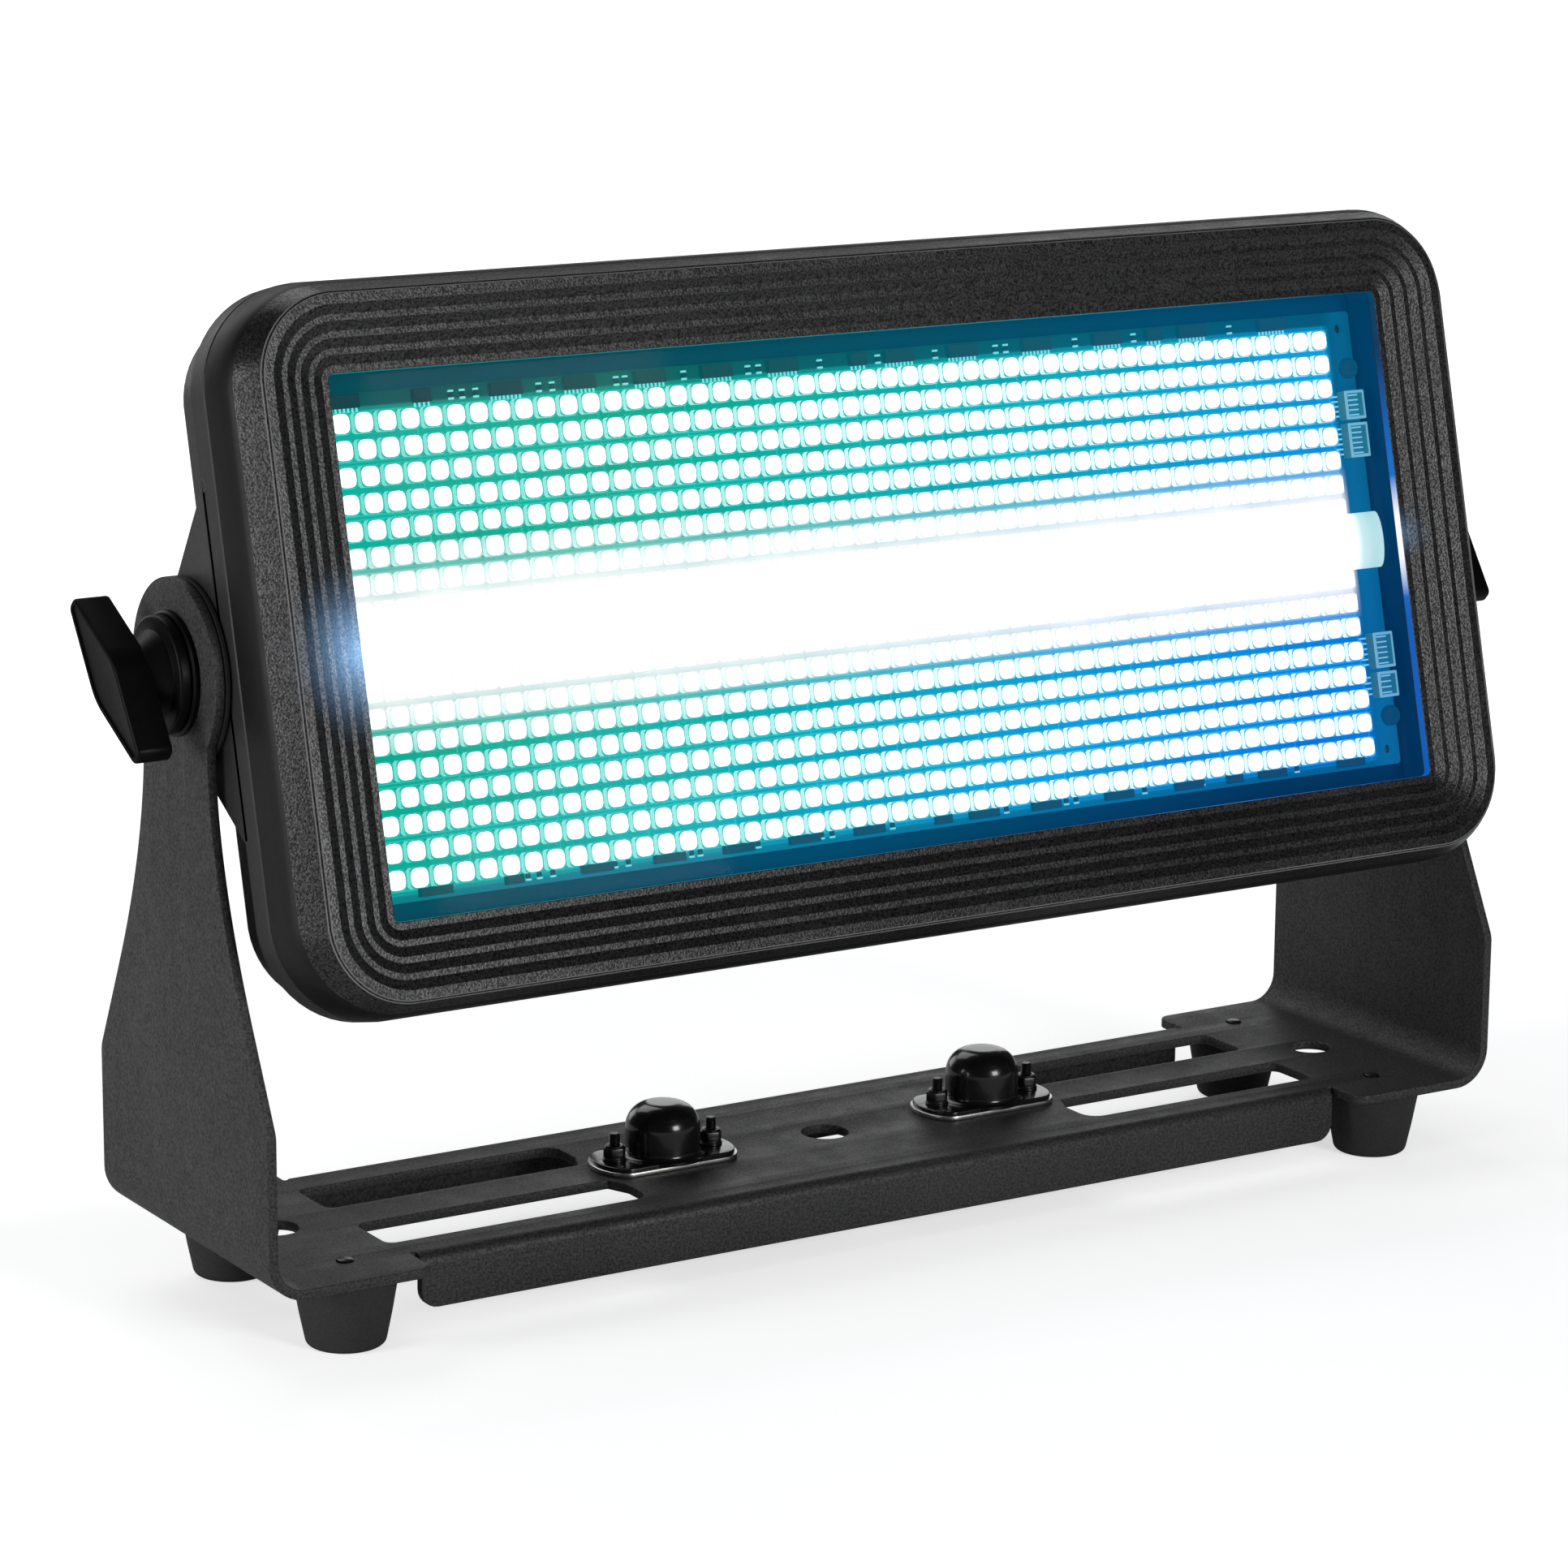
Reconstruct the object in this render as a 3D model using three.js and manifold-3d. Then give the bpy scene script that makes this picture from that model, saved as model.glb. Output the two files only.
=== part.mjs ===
// Stage strobe light: a tilting LED head held in a bent yoke bracket that stands on rubber feet.
// Millimetres, +X to the viewer's right, +Y to the back, +Z up. The front faces -Y.
// The origin lies on the floor, under the middle of the whole lamp's box.
import * as THREE from 'three';
import { mergeVertices } from 'three/addons/utils/BufferGeometryUtils.js';
import Module from 'manifold-3d';

const wasm = await Module();
wasm.setup();

// Clearances shared by all pieces
const seatGap = 0.3;
const runningGap = 0.4;
const overrun = 2;
const weldDistance = 0.0005;

// Rows of a rounded edge: how far the middle row lies in, as a share of the edge's radius
const edgeMiddleShare = 1 - Math.SQRT1_2;

// Smoothness of the round forms: segments in a corner, in a full turn, and divisions of a drawn curve.
// A drawn arc gets two segments for each division.
const cornerSteps = 5;
const tinyTurnSteps = 8;
const smallTurnSteps = 14;
const largeTurnSteps = 20;
const eyeSteps = 14;
const cornerDivisions = 2;
const armDivisions = 10;

// Yoke bracket
const yokeWidth = 366;
const yokeDepth = 92.4;
const sheetThickness = 2.5;
const lowerBendRadius = 10;
const pivotHeight = 161.3;
const pivotDiscRadius = 22.8;
const pivotHoleRadius = 4.6;
const armStraightRise = 38.6;
const flareRise = 62.2;
const flareHalfDepth = 34.6;
const waistRise = 124;
const waistHalfDepth = 17.5;

// Base plate of the yoke
const plateHalfDepth = 33.7;
const earInnerEdge = 139.5;
const earCornerRadius = 4;
const flangeHalfLength = 137.9;
const flangeDrop = 13.9;
const flangeBendRadius = 3;
const flangeCornerRadius = 4.7;
const slotInnerEnd = 67;
const slotOuterEnd = 140.6;
const slotNearSide = 7.4;
const slotFarSide = 24.6;
const slotCornerRadius = 2.5;
const slotInnerRadius = 4.5;
const slotNotchLength = 2.5;
const slotNotchDepth = 6;
const centreHoleRadius = 6.2;
const sideHoleRadius = 5.75;
const sideHoleX = 158.5;

// Rubber feet and their screws
const footHeight = 18.1;
const footTopRadius = 13;
const footBottomRadius = 9.8;
const footEdgeRadius = 1.8;
const footX = 155.5;
const footY = 31;
const footBoreRadius = 5.2;
const footBoreDepth = 9;
const footScrewRadius = 1.9;
const footScrewHeadRadius = 4.4;
const footScrewHeadHeight = 2.4;
const footScrewChamfer = 0.8;
const footScrewStandProud = 0.5;

// Quarter-turn sockets for the clamps
const socketX = 49;
const socketHalfLength = 20;
const socketHalfWidth = 9.8;
const socketStraightHalf = 13.5;
const socketPlateThickness = 1.3;
const socketRimThickness = 1;
const socketRimInset = 0.7;
const socketMouthRadius = 8.2;
const domeRadius = 9.6;
const domeHeight = 14.2;
const domeCrownRadius = 6.4;
const domeWall = 1.2;
const studSpacing = 14.2;
const studRadius = 1.5;
const studHeight = 9.4;
const nutAcrossCorners = 6;
const nutThickness = 2.4;
const nutRise = 1.2;

// Clamp knobs
const washerRadius = 15;
const washerThickness = 1.6;
const skirtRadius = 14.2;
const skirtThickness = 2.8;
const skirtChamfer = 0.7;
const neckBaseRadius = 10.5;
const neckTipRadius = 7.5;
const neckLength = 5;
const wingDepth = 9;
const wingLength = 45;
const wingMiddleWidth = 16.4;
const wingEndWidth = 4.2;
const wingBevel = 0.9;
const wingSink = 0.8;
const wingAngleDegrees = 48;
const studBoltRadius = 3.9;
const studBoltReach = 10;

// Head: its hang in the yoke
const tiltDegrees = 13.95;
const pivotBehindLeds = 29.7;
const headSideWidth = 357.2;
const headSideHeight = 173.8;

// Head: window and ridged bezel, as steps outward from the window's edge
const windowWidth = 306.2;
const windowHeight = 127.9;
const windowCornerRadius = 1.5;
const lipFrontAhead = 10.25;
const lipThickness = 2.5;
const innerFlat = 1.9;
const ridgeWallRun = 2.35;
const ridgeRise = 1;
const ridgeFlat = 1.5;
const ridgeCount = 4;
const rimFlat = 2.7;
const rimEdgeRadius = 0.6;
const rimEdgeDrop = 0.5;
const creaseAhead = 7.8;
const creaseSetIn = 1.6;
const creaseTurnSetIn = 1;
const creaseTurnDrop = 1.5;
const seamBehind = 3.45;
const seamCornerRadius = 26;
const bezelWall = 3;
const lipShelf = 5;

// Head: glass and gasket
const glassOverlap = 4;
const glassThickness = 2.5;
const glassCornerRadius = 4;
const gasketThickness = 0.6;
const gasketInset = 0.6;

// Head: LED board
const boardWidth = 306.6;
const boardHeight = 120.3;
const boardThickness = 1.6;
const boardCornerRadius = 1;
const ledPitchX = 6.12;
const ledPitchY = 6.35;
const ledColumns = 48;
const ledRowsPerBank = 8;
const ledSize = 5;
const ledHeight = 1.3;
const ledCarrierThickness = 0.3;
const bankGapPitches = 2.94;
const gridShiftX = -2.5;
const gridShiftY = -0.88;

// Head: white strobe bar and its lens
const barHalfHeight = 5.6;
const barThickness = 1.4;
const lensHalfLength = 152.2;
const lensHalfHeight = 7.4;
const lensHeight = 3.3;
const lensEdgeHeight = 0.8;
const barShiftY = -0.6;

// Head: plug connectors at the board's edge
const connectorDepth = 7.5;
const connectorHeight = 3.6;
const connectorWall = 1;
const connectorEdgeInset = 0.8;
const connectorRows = [
  { middle: 35.2, length: 7.6 },
  { middle: 25.9, length: 9.1 },
  { middle: -29.8, length: 9.4 },
  { middle: -38.9, length: 6.8 },
];

// Head: heat sink
const sinkHalfWidth = 155;
const sinkHalfHeight = 73;
const sinkPlateThickness = 3.5;
const sinkCornerRadius = 6;
const finCount = 24;
const finPitch = 12;
const finThickness = 1.8;
const finHeight = 13;
const finHalfLength = 54;

// Head: rear shell and its side bosses
const bandBack = 11.6;
const bodySetIn = 4.5;
const bodyCornerRadius = 21.5;
const shellBack = 27;
const shellEdgeRadius = 2.5;
const bandEdgeSize = 0.8;
const shellWall = 2.5;
const bossTopHalf = 41.6;
const bossRoundRadius = 18.9;
const bossTurnDegrees = 18;
const bossLength = 30;
const bossBoreRadius = 7.3;
const insertLength = 14;
const insertBoreRadius = 4.3;
const postX = 148;
const postY = 68;
const postRadius = 4;

// Head: rear cover
const coverHalfWidth = 146;
const coverHalfHeight = 66;
const coverBack = 62.3;
const coverWall = 2.2;
const coverCornerRadius = 9;
const coverEdgeRadius = 2.5;
const ventCount = 10;
const ventPitch = 9;
const ventWidth = 4;
const ventLength = 16;

// Head: fan
const fanX = 0;
const fanY = 6;
const fanSize = 60;
const fanDepth = 15;
const fanCornerRadius = 5;
const fanBoreRadius = 28;
const fanBladeRadius = 27;
const fanHubRadius = 12.5;
const fanMountThickness = 2.5;
const fanStrutWidth = 3;
const fanStrutCount = 4;
const fanBladeCount = 7;
const fanBladeChord = 13;
const fanBladeThickness = 1.3;
const fanBladePitchDegrees = 38;
const fanBladeRoot = 1.5;
const fanHubDepth = 9.5;
const grilleBarWidth = 2.6;
const grilleSlotWidth = 4.2;

// Head: power supply
const supplyX = -86;
const supplyTopGap = 9.8;
const supplySocketGap = 4.2;
const supplyWidth = 98;
const supplyDepth = 28;
const supplyTerminalDepth = 14;
const supplyTerminalLength = 12;
const supplySheet = 1.5;

// Head: control panel, display, board and buttons
const panelX = 88;
const panelTopGap = 15;
const panelWidth = 96;
const panelHeightShare = 0.44;
const panelThickness = 1.5;
const panelCornerRadius = 4;
const panelBorder = 5;
const displayWidth = 58;
const displayHeightShare = 0.4;
const displayRiseShare = 0.17;
const displayBezel = 2;
const displayDepth = 8.4;
const controlBoardThickness = 1.6;
const buttonCount = 4;
const buttonPitch = 19;
const buttonDropShare = 0.26;
const buttonRadius = 4.6;
const buttonProud = 2;
const buttonTravel = 0.9;
const buttonEdgeRadius = 0.7;

// Head: sockets, fuse holder and safety eye
const socketRowRise = 24;
const powerInX = -118;
const powerOutX = -84;
const dataInX = 72;
const dataOutX = 106;
const fuseX = -50;
const chassisWidth = 26;
const chassisHeight = 31;
const chassisThickness = 2;
const chassisCornerRadius = 3;
const barrelRadius = 11.8;
const barrelLength = 20;
const wellRadius = 9.6;
const wellDepth = 14;
const plugInsertRadius = 7;
const fuseFlangeRadius = 9;
const fuseFlangeThickness = 2;
const fuseBodyRadius = 6;
const fuseBodyLength = 18;
const fuseCapRadius = 7;
const fuseCapHeight = 7.5;
const fuseSlotWidth = 1.6;
const fuseSlotDepth = 1.4;
const eyeTopGap = 18;
const eyeHalfSpan = 12;
const eyeReach = 20;
const eyeWireRadius = 2.5;
const eyePadRadius = 5;
const eyePadThickness = 2;

// Levels worked out from the sizes above
const baseTop = footHeight + sheetThickness;
const armOuter = yokeWidth / 2;
const armInner = armOuter - sheetThickness;
const headSide = headSideWidth / 2;
const lipBackAhead = lipFrontAhead - lipThickness;
const gasketFront = lipBackAhead - seatGap;
const glassFront = gasketFront - gasketThickness - seatGap;
const ledCarrierBack = -ledHeight - ledCarrierThickness;
const boardFront = ledCarrierBack - seatGap;
const sinkFront = boardFront - boardThickness - seatGap;
const sinkBack = sinkFront - sinkPlateThickness;
const wallInside = -(coverBack - coverWall);
const socketRowY = socketRowRise - coverHalfHeight;
const supplyTop = coverHalfHeight - coverWall - supplyTopGap;
const supplyHeight = supplyTop - (socketRowY + barrelRadius + supplySocketGap);
const supplyY = supplyTop - supplyHeight / 2;
const panelHeight = 2 * coverHalfHeight * panelHeightShare;
const panelY = coverHalfHeight - panelTopGap - panelHeight / 2;
const displayHeight = panelHeight * displayHeightShare;
const displayY = panelY + panelHeight * displayRiseShare;
const buttonRowY = panelY - panelHeight * buttonDropShare;
const eyeY = coverHalfHeight - eyeTopGap;
const panelFront = -coverBack - seatGap;
const panelBack = panelFront - panelThickness;
const bankShift = ((bankGapPitches + ledRowsPerBank - 1) / 2) * ledPitchY;

// Finishes
function finish(color, roughness, metalness) {
  return new THREE.MeshStandardMaterial({ color, roughness, metalness });
}

const finishes = {
  powderCoat: finish(0x232323, 0.7, 0.2),
  plastic: finish(0x1e1e1e, 0.65, 0),
  gloss: finish(0x101010, 0.25, 0),
  rubber: finish(0x161616, 0.85, 0),
  zinc: finish(0xb9bcc0, 0.35, 0.9),
  steel: finish(0x2a2a2c, 0.4, 0.9),
  glass: finish(0x9fb4b8, 0.05, 0),
  board: finish(0x0b5a58, 0.5, 0.1),
  led: finish(0xf2fbff, 0.3, 0),
  lens: finish(0xf6f8f8, 0.15, 0),
  connector: finish(0xe8e8e0, 0.5, 0),
  aluminium: finish(0x9a9da1, 0.45, 0.85),
  brass: finish(0xb08d45, 0.35, 0.9),
  circuit: finish(0x14502c, 0.5, 0.1),
  display: finish(0x0c1a2c, 0.2, 0),
  inlet: finish(0x1f4fa8, 0.5, 0),
  outlet: finish(0xb8bcc2, 0.5, 0),
};

// Solids: weld a geometry, turn it the right way out, and join or cut with others
function faceOut(geometry) {
  const position = geometry.getAttribute('position');
  const index = geometry.index.array;
  const a = new THREE.Vector3();
  const b = new THREE.Vector3();
  const c = new THREE.Vector3();
  let volume = 0;
  for (let i = 0; i < index.length; i += 3) {
    a.fromBufferAttribute(position, index[i]);
    b.fromBufferAttribute(position, index[i + 1]);
    c.fromBufferAttribute(position, index[i + 2]);
    volume += a.dot(b.cross(c));
  }
  if (volume < 0) {
    for (let i = 0; i < index.length; i += 3) {
      [index[i + 1], index[i + 2]] = [index[i + 2], index[i + 1]];
    }
  }
  return geometry;
}

function closed(geometry) {
  const bare = new THREE.BufferGeometry();
  bare.setAttribute('position', geometry.getAttribute('position'));
  if (geometry.index) {
    bare.setIndex(geometry.index);
  }
  return faceOut(mergeVertices(bare, weldDistance));
}

function toSolid(geometry) {
  const welded = closed(geometry);
  return new wasm.Manifold(new wasm.Mesh({
    numProp: 3,
    vertProperties: new Float32Array(welded.getAttribute('position').array),
    triVerts: new Uint32Array(welded.index.array),
  }));
}

function toGeometry(solid) {
  const mesh = solid.getMesh();
  const geometry = new THREE.BufferGeometry();
  geometry.setAttribute('position', new THREE.BufferAttribute(mesh.vertProperties, 3));
  geometry.setIndex(new THREE.BufferAttribute(mesh.triVerts, 1));
  geometry.computeVertexNormals();
  return geometry;
}

function join(...pieces) {
  return toGeometry(pieces.map(toSolid).reduce((whole, piece) => whole.add(piece)));
}

function cut(body, ...wastes) {
  return toGeometry(wastes.map(toSolid).reduce((rest, waste) => rest.subtract(waste), toSolid(body)));
}

function common(body, other) {
  return toGeometry(toSolid(body).intersect(toSolid(other)));
}

// Flat outlines
function roundedRect(halfWidth, halfHeight, radius, x = 0, y = 0) {
  const shape = new THREE.Shape();
  const quarter = Math.PI / 2;
  shape.absarc(x + halfWidth - radius, y + halfHeight - radius, radius, 0, quarter);
  shape.absarc(x - halfWidth + radius, y + halfHeight - radius, radius, quarter, 2 * quarter);
  shape.absarc(x - halfWidth + radius, y - halfHeight + radius, radius, 2 * quarter, 3 * quarter);
  shape.absarc(x + halfWidth - radius, y - halfHeight + radius, radius, 3 * quarter, 4 * quarter);
  shape.closePath();
  return shape;
}

function box(halfWidth, halfHeight, x = 0, y = 0) {
  return new THREE.Shape([
    new THREE.Vector2(x - halfWidth, y - halfHeight),
    new THREE.Vector2(x + halfWidth, y - halfHeight),
    new THREE.Vector2(x + halfWidth, y + halfHeight),
    new THREE.Vector2(x - halfWidth, y + halfHeight),
  ]);
}

function circle(radius, x = 0, y = 0) {
  const shape = new THREE.Shape();
  shape.absarc(x, y, radius, 0, 2 * Math.PI);
  return shape;
}

function polygon(points) {
  return new THREE.Shape(points.map(([x, y]) => new THREE.Vector2(x, y)));
}

// Extrusions: an outline drawn in XY rises along Z, one drawn in YZ runs along X, one in XZ along Y
function alongZ(shape, low, high, curveSegments = cornerDivisions) {
  return new THREE.ExtrudeGeometry(shape, { depth: high - low, bevelEnabled: false, curveSegments })
    .translate(0, 0, low);
}

function alongX(shape, low, high, curveSegments = cornerDivisions) {
  const turn = new THREE.Matrix4().makeBasis(
    new THREE.Vector3(0, 1, 0),
    new THREE.Vector3(0, 0, 1),
    new THREE.Vector3(1, 0, 0),
  );
  return alongZ(shape, low, high, curveSegments).applyMatrix4(turn);
}

function alongY(shape, low, high, curveSegments = cornerDivisions) {
  return alongZ(shape, -high, -low, curveSegments).rotateX(Math.PI / 2);
}

// Turned forms: points are [radius, height], the height runs along Z
function turned(points, steps = smallTurnSteps) {
  return new THREE.LatheGeometry(points.map(([r, h]) => new THREE.Vector2(r, h)), steps).rotateX(Math.PI / 2);
}

function disc(radius, low, high, steps = smallTurnSteps) {
  return turned([[0, low], [radius, low], [radius, high], [0, high]], steps);
}

function tube(inner, outer, low, high, steps = smallTurnSteps) {
  return turned([[inner, low], [outer, low], [outer, high], [inner, high], [inner, low]], steps);
}

// Frames: each row of the section is a rounded rectangle at its own level, and the rows close on themselves
function framed(section) {
  const positions = [];
  const perRow = 4 * (cornerSteps + 1);
  for (const { halfWidth, halfHeight, radius, level } of section) {
    for (let corner = 0; corner < 4; corner += 1) {
      const sideX = corner === 0 || corner === 3 ? 1 : -1;
      const sideY = corner < 2 ? 1 : -1;
      for (let step = 0; step <= cornerSteps; step += 1) {
        const angle = (corner + step / cornerSteps) * (Math.PI / 2);
        positions.push(
          sideX * (halfWidth - radius) + radius * Math.cos(angle),
          sideY * (halfHeight - radius) + radius * Math.sin(angle),
          level,
        );
      }
    }
  }
  const index = [];
  for (let row = 0; row < section.length; row += 1) {
    const nextRow = (row + 1) % section.length;
    for (let i = 0; i < perRow; i += 1) {
      const j = (i + 1) % perRow;
      const a = row * perRow + i;
      const b = row * perRow + j;
      const c = nextRow * perRow + j;
      const d = nextRow * perRow + i;
      index.push(a, b, c, a, c, d);
    }
  }
  const geometry = new THREE.BufferGeometry();
  geometry.setAttribute('position', new THREE.Float32BufferAttribute(positions, 3));
  geometry.setIndex(index);
  return faceOut(geometry);
}

function add(group, name, geometry, material) {
  const shown = geometry.index ? geometry.toNonIndexed() : geometry;
  shown.computeVertexNormals();
  const mesh = new THREE.Mesh(shown, material);
  mesh.name = name;
  group.add(mesh);
}

const sides = [
  { name: 'left', sign: -1 },
  { name: 'right', sign: 1 },
];
const ends = [
  { name: 'front', sign: -1 },
  { name: 'rear', sign: 1 },
];

// The yoke is bent from one sheet: a U across the lamp, cut to the arms' outline seen from the side
function yokeSection() {
  const top = pivotHeight + pivotDiscRadius + overrun;
  const innerBend = lowerBendRadius - sheetThickness;
  const shape = new THREE.Shape();
  shape.moveTo(-armOuter, top);
  const bend = lowerBendRadius;
  shape.absarc(bend - armOuter, footHeight + bend, bend, Math.PI, 1.5 * Math.PI);
  shape.absarc(armOuter - bend, footHeight + bend, bend, 1.5 * Math.PI, 2 * Math.PI);
  shape.lineTo(armOuter, top);
  shape.lineTo(armInner, top);
  shape.absarc(armInner - innerBend, baseTop + innerBend, innerBend, 2 * Math.PI, 1.5 * Math.PI, true);
  shape.absarc(-armInner + innerBend, baseTop + innerBend, innerBend, 1.5 * Math.PI, Math.PI, true);
  shape.lineTo(-armInner, top);
  shape.closePath();
  return shape;
}

function armOutline() {
  const half = yokeDepth / 2;
  const flareControl = flareRise + ((flareHalfDepth - waistHalfDepth) * (flareRise - armStraightRise))
    / (half - flareHalfDepth);
  const meetAngle = Math.acos(waistHalfDepth / pivotDiscRadius);
  const shape = new THREE.Shape();
  shape.moveTo(half, 0);
  shape.lineTo(half, baseTop + armStraightRise);
  shape.lineTo(flareHalfDepth, baseTop + flareRise);
  shape.quadraticCurveTo(waistHalfDepth, baseTop + flareControl, waistHalfDepth, baseTop + waistRise);
  shape.absarc(0, pivotHeight, pivotDiscRadius, -meetAngle, Math.PI + meetAngle);
  shape.lineTo(-waistHalfDepth, baseTop + waistRise);
  shape.quadraticCurveTo(-waistHalfDepth, baseTop + flareControl, -flareHalfDepth, baseTop + flareRise);
  shape.lineTo(-half, baseTop + armStraightRise);
  shape.lineTo(-half, 0);
  shape.closePath();
  return shape;
}

function slotOutline(sideX, sideY) {
  const x = (value) => sideX * value;
  const y = (value) => sideY * value;
  const r = slotCornerRadius;
  const shape = new THREE.Shape();
  shape.moveTo(x(slotInnerEnd + slotNotchLength), y(slotNearSide));
  shape.lineTo(x(slotOuterEnd - r), y(slotNearSide));
  shape.quadraticCurveTo(x(slotOuterEnd), y(slotNearSide), x(slotOuterEnd), y(slotNearSide + r));
  shape.lineTo(x(slotOuterEnd), y(slotFarSide - r));
  shape.quadraticCurveTo(x(slotOuterEnd), y(slotFarSide), x(slotOuterEnd - r), y(slotFarSide));
  shape.lineTo(x(slotInnerEnd + slotInnerRadius), y(slotFarSide));
  shape.quadraticCurveTo(x(slotInnerEnd), y(slotFarSide), x(slotInnerEnd), y(slotFarSide - slotInnerRadius));
  shape.lineTo(x(slotInnerEnd), y(slotNearSide + slotNotchDepth));
  shape.closePath();
  return shape;
}

// The stiffening flange turns down from the plate's long edge
function flangeSection(sideY) {
  const bend = flangeBendRadius;
  const inner = bend - sheetThickness;
  const y = (value) => sideY * value;
  const outerFace = plateHalfDepth + bend;
  const innerFace = outerFace - sheetThickness;
  const low = baseTop - flangeDrop;
  const rounding = Math.SQRT1_2;
  return polygon([
    [y(plateHalfDepth - sheetThickness), baseTop],
    [y(plateHalfDepth), baseTop],
    [y(plateHalfDepth + bend * rounding), baseTop - bend * (1 - rounding)],
    [y(outerFace), baseTop - bend],
    [y(outerFace), low],
    [y(innerFace), low],
    [y(innerFace), footHeight - inner],
    [y(plateHalfDepth), footHeight],
    [y(plateHalfDepth - sheetThickness), footHeight],
  ]);
}

function flange(sideY) {
  const low = baseTop - flangeDrop;
  const middle = (baseTop + overrun + low) / 2;
  const face = roundedRect(flangeHalfLength, baseTop + overrun - middle, flangeCornerRadius, 0, middle);
  const reach = plateHalfDepth + flangeBendRadius + overrun;
  return common(
    alongX(flangeSection(sideY), -flangeHalfLength, flangeHalfLength),
    alongY(face, -reach, reach),
  );
}

function yokeBracket() {
  const depth = yokeDepth / 2 + overrun;
  const bent = common(
    alongY(yokeSection(), -depth, depth),
    alongX(armOutline(), -armOuter - overrun, armOuter + overrun, armDivisions),
  );
  const through = (shape, steps) => alongZ(shape, footHeight - overrun, baseTop + overrun, steps);
  const earReach = yokeDepth / 2 + overrun;
  const cuts = [];
  for (const { sign } of ends) {
    const middle = (sign * (plateHalfDepth + earReach)) / 2;
    cuts.push(through(box(earInnerEdge, (earReach - plateHalfDepth) / 2, 0, middle)));
  }
  for (const { sign } of sides) {
    cuts.push(through(circle(sideHoleRadius, sign * sideHoleX, 0), smallTurnSteps / 2));
    cuts.push(through(circle(socketMouthRadius, sign * socketX, 0), smallTurnSteps / 2));
    cuts.push(alongX(
      circle(pivotHoleRadius, 0, pivotHeight),
      sign * armOuter - sheetThickness - overrun,
      sign * armOuter + sheetThickness + overrun,
      tinyTurnSteps / 2,
    ));
    for (const stud of sides) {
      const x = sign * socketX + stud.sign * studSpacing;
      cuts.push(through(circle(studRadius + seatGap, x, 0), tinyTurnSteps / 2));
    }
    for (const end of ends) {
      cuts.push(through(slotOutline(sign, end.sign)));
      const screwHole = circle(footScrewRadius + seatGap, sign * footX, end.sign * footY);
      cuts.push(through(screwHole, tinyTurnSteps / 2));
      cuts.push(earCorner(sign, end.sign));
    }
  }
  cuts.push(through(circle(centreHoleRadius), smallTurnSteps / 2));
  return join(cut(bent, ...cuts), flange(-1), flange(1));
}

// The waste outside an ear's rounded inner corner
function earCorner(sideX, sideY) {
  const r = earCornerRadius;
  const x = sideX * earInnerEdge;
  const y = (sideY * yokeDepth) / 2;
  const shape = new THREE.Shape();
  shape.moveTo(x - sideX * overrun, y + sideY * overrun);
  shape.lineTo(x - sideX * overrun, y - sideY * r);
  shape.lineTo(x, y - sideY * r);
  shape.quadraticCurveTo(x, y, x + sideX * r, y);
  shape.lineTo(x + sideX * r, y + sideY * overrun);
  shape.closePath();
  return alongZ(shape, footHeight - overrun, baseTop + overrun);
}

function foot() {
  const wall = footHeight - footBoreDepth;
  const slope = (footTopRadius - footBottomRadius) / footHeight;
  return turned([
    [footBoreRadius, 0],
    [footBottomRadius - footEdgeRadius, 0],
    [footBottomRadius - footEdgeRadius * edgeMiddleShare, footEdgeRadius * edgeMiddleShare],
    [footBottomRadius + slope * footEdgeRadius, footEdgeRadius],
    [footTopRadius, footHeight],
    [footScrewRadius + seatGap, footHeight],
    [footScrewRadius + seatGap, footHeight - wall],
    [footBoreRadius, footHeight - wall],
    [footBoreRadius, 0],
  ], largeTurnSteps);
}

function footScrew() {
  const headTop = footBoreDepth;
  const headLow = headTop - footScrewHeadHeight;
  return turned([
    [0, headLow],
    [footScrewHeadRadius - footScrewChamfer, headLow],
    [footScrewHeadRadius, headLow + footScrewChamfer],
    [footScrewHeadRadius, headTop],
    [footScrewRadius, headTop],
    [footScrewRadius, baseTop + footScrewStandProud],
    [0, baseTop + footScrewStandProud],
  ], tinyTurnSteps);
}

function ovalPlate(inset) {
  const shape = new THREE.Shape();
  const endHalf = socketHalfLength - socketStraightHalf - inset;
  const half = socketHalfWidth - inset;
  shape.absellipse(socketStraightHalf, 0, endHalf, half, -Math.PI / 2, Math.PI / 2);
  shape.absellipse(-socketStraightHalf, 0, endHalf, half, Math.PI / 2, 1.5 * Math.PI);
  shape.closePath();
  return shape;
}

function socketPlate() {
  const plateTop = baseTop + socketPlateThickness;
  const low = baseTop - overrun;
  const high = plateTop + overrun;
  const holes = [disc(socketMouthRadius, low, high)];
  for (const { sign } of sides) {
    holes.push(disc(studRadius + seatGap, low, high, tinyTurnSteps).translate(sign * studSpacing, 0, 0));
  }
  return cut(alongZ(ovalPlate(0), baseTop, plateTop), ...holes);
}

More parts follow.
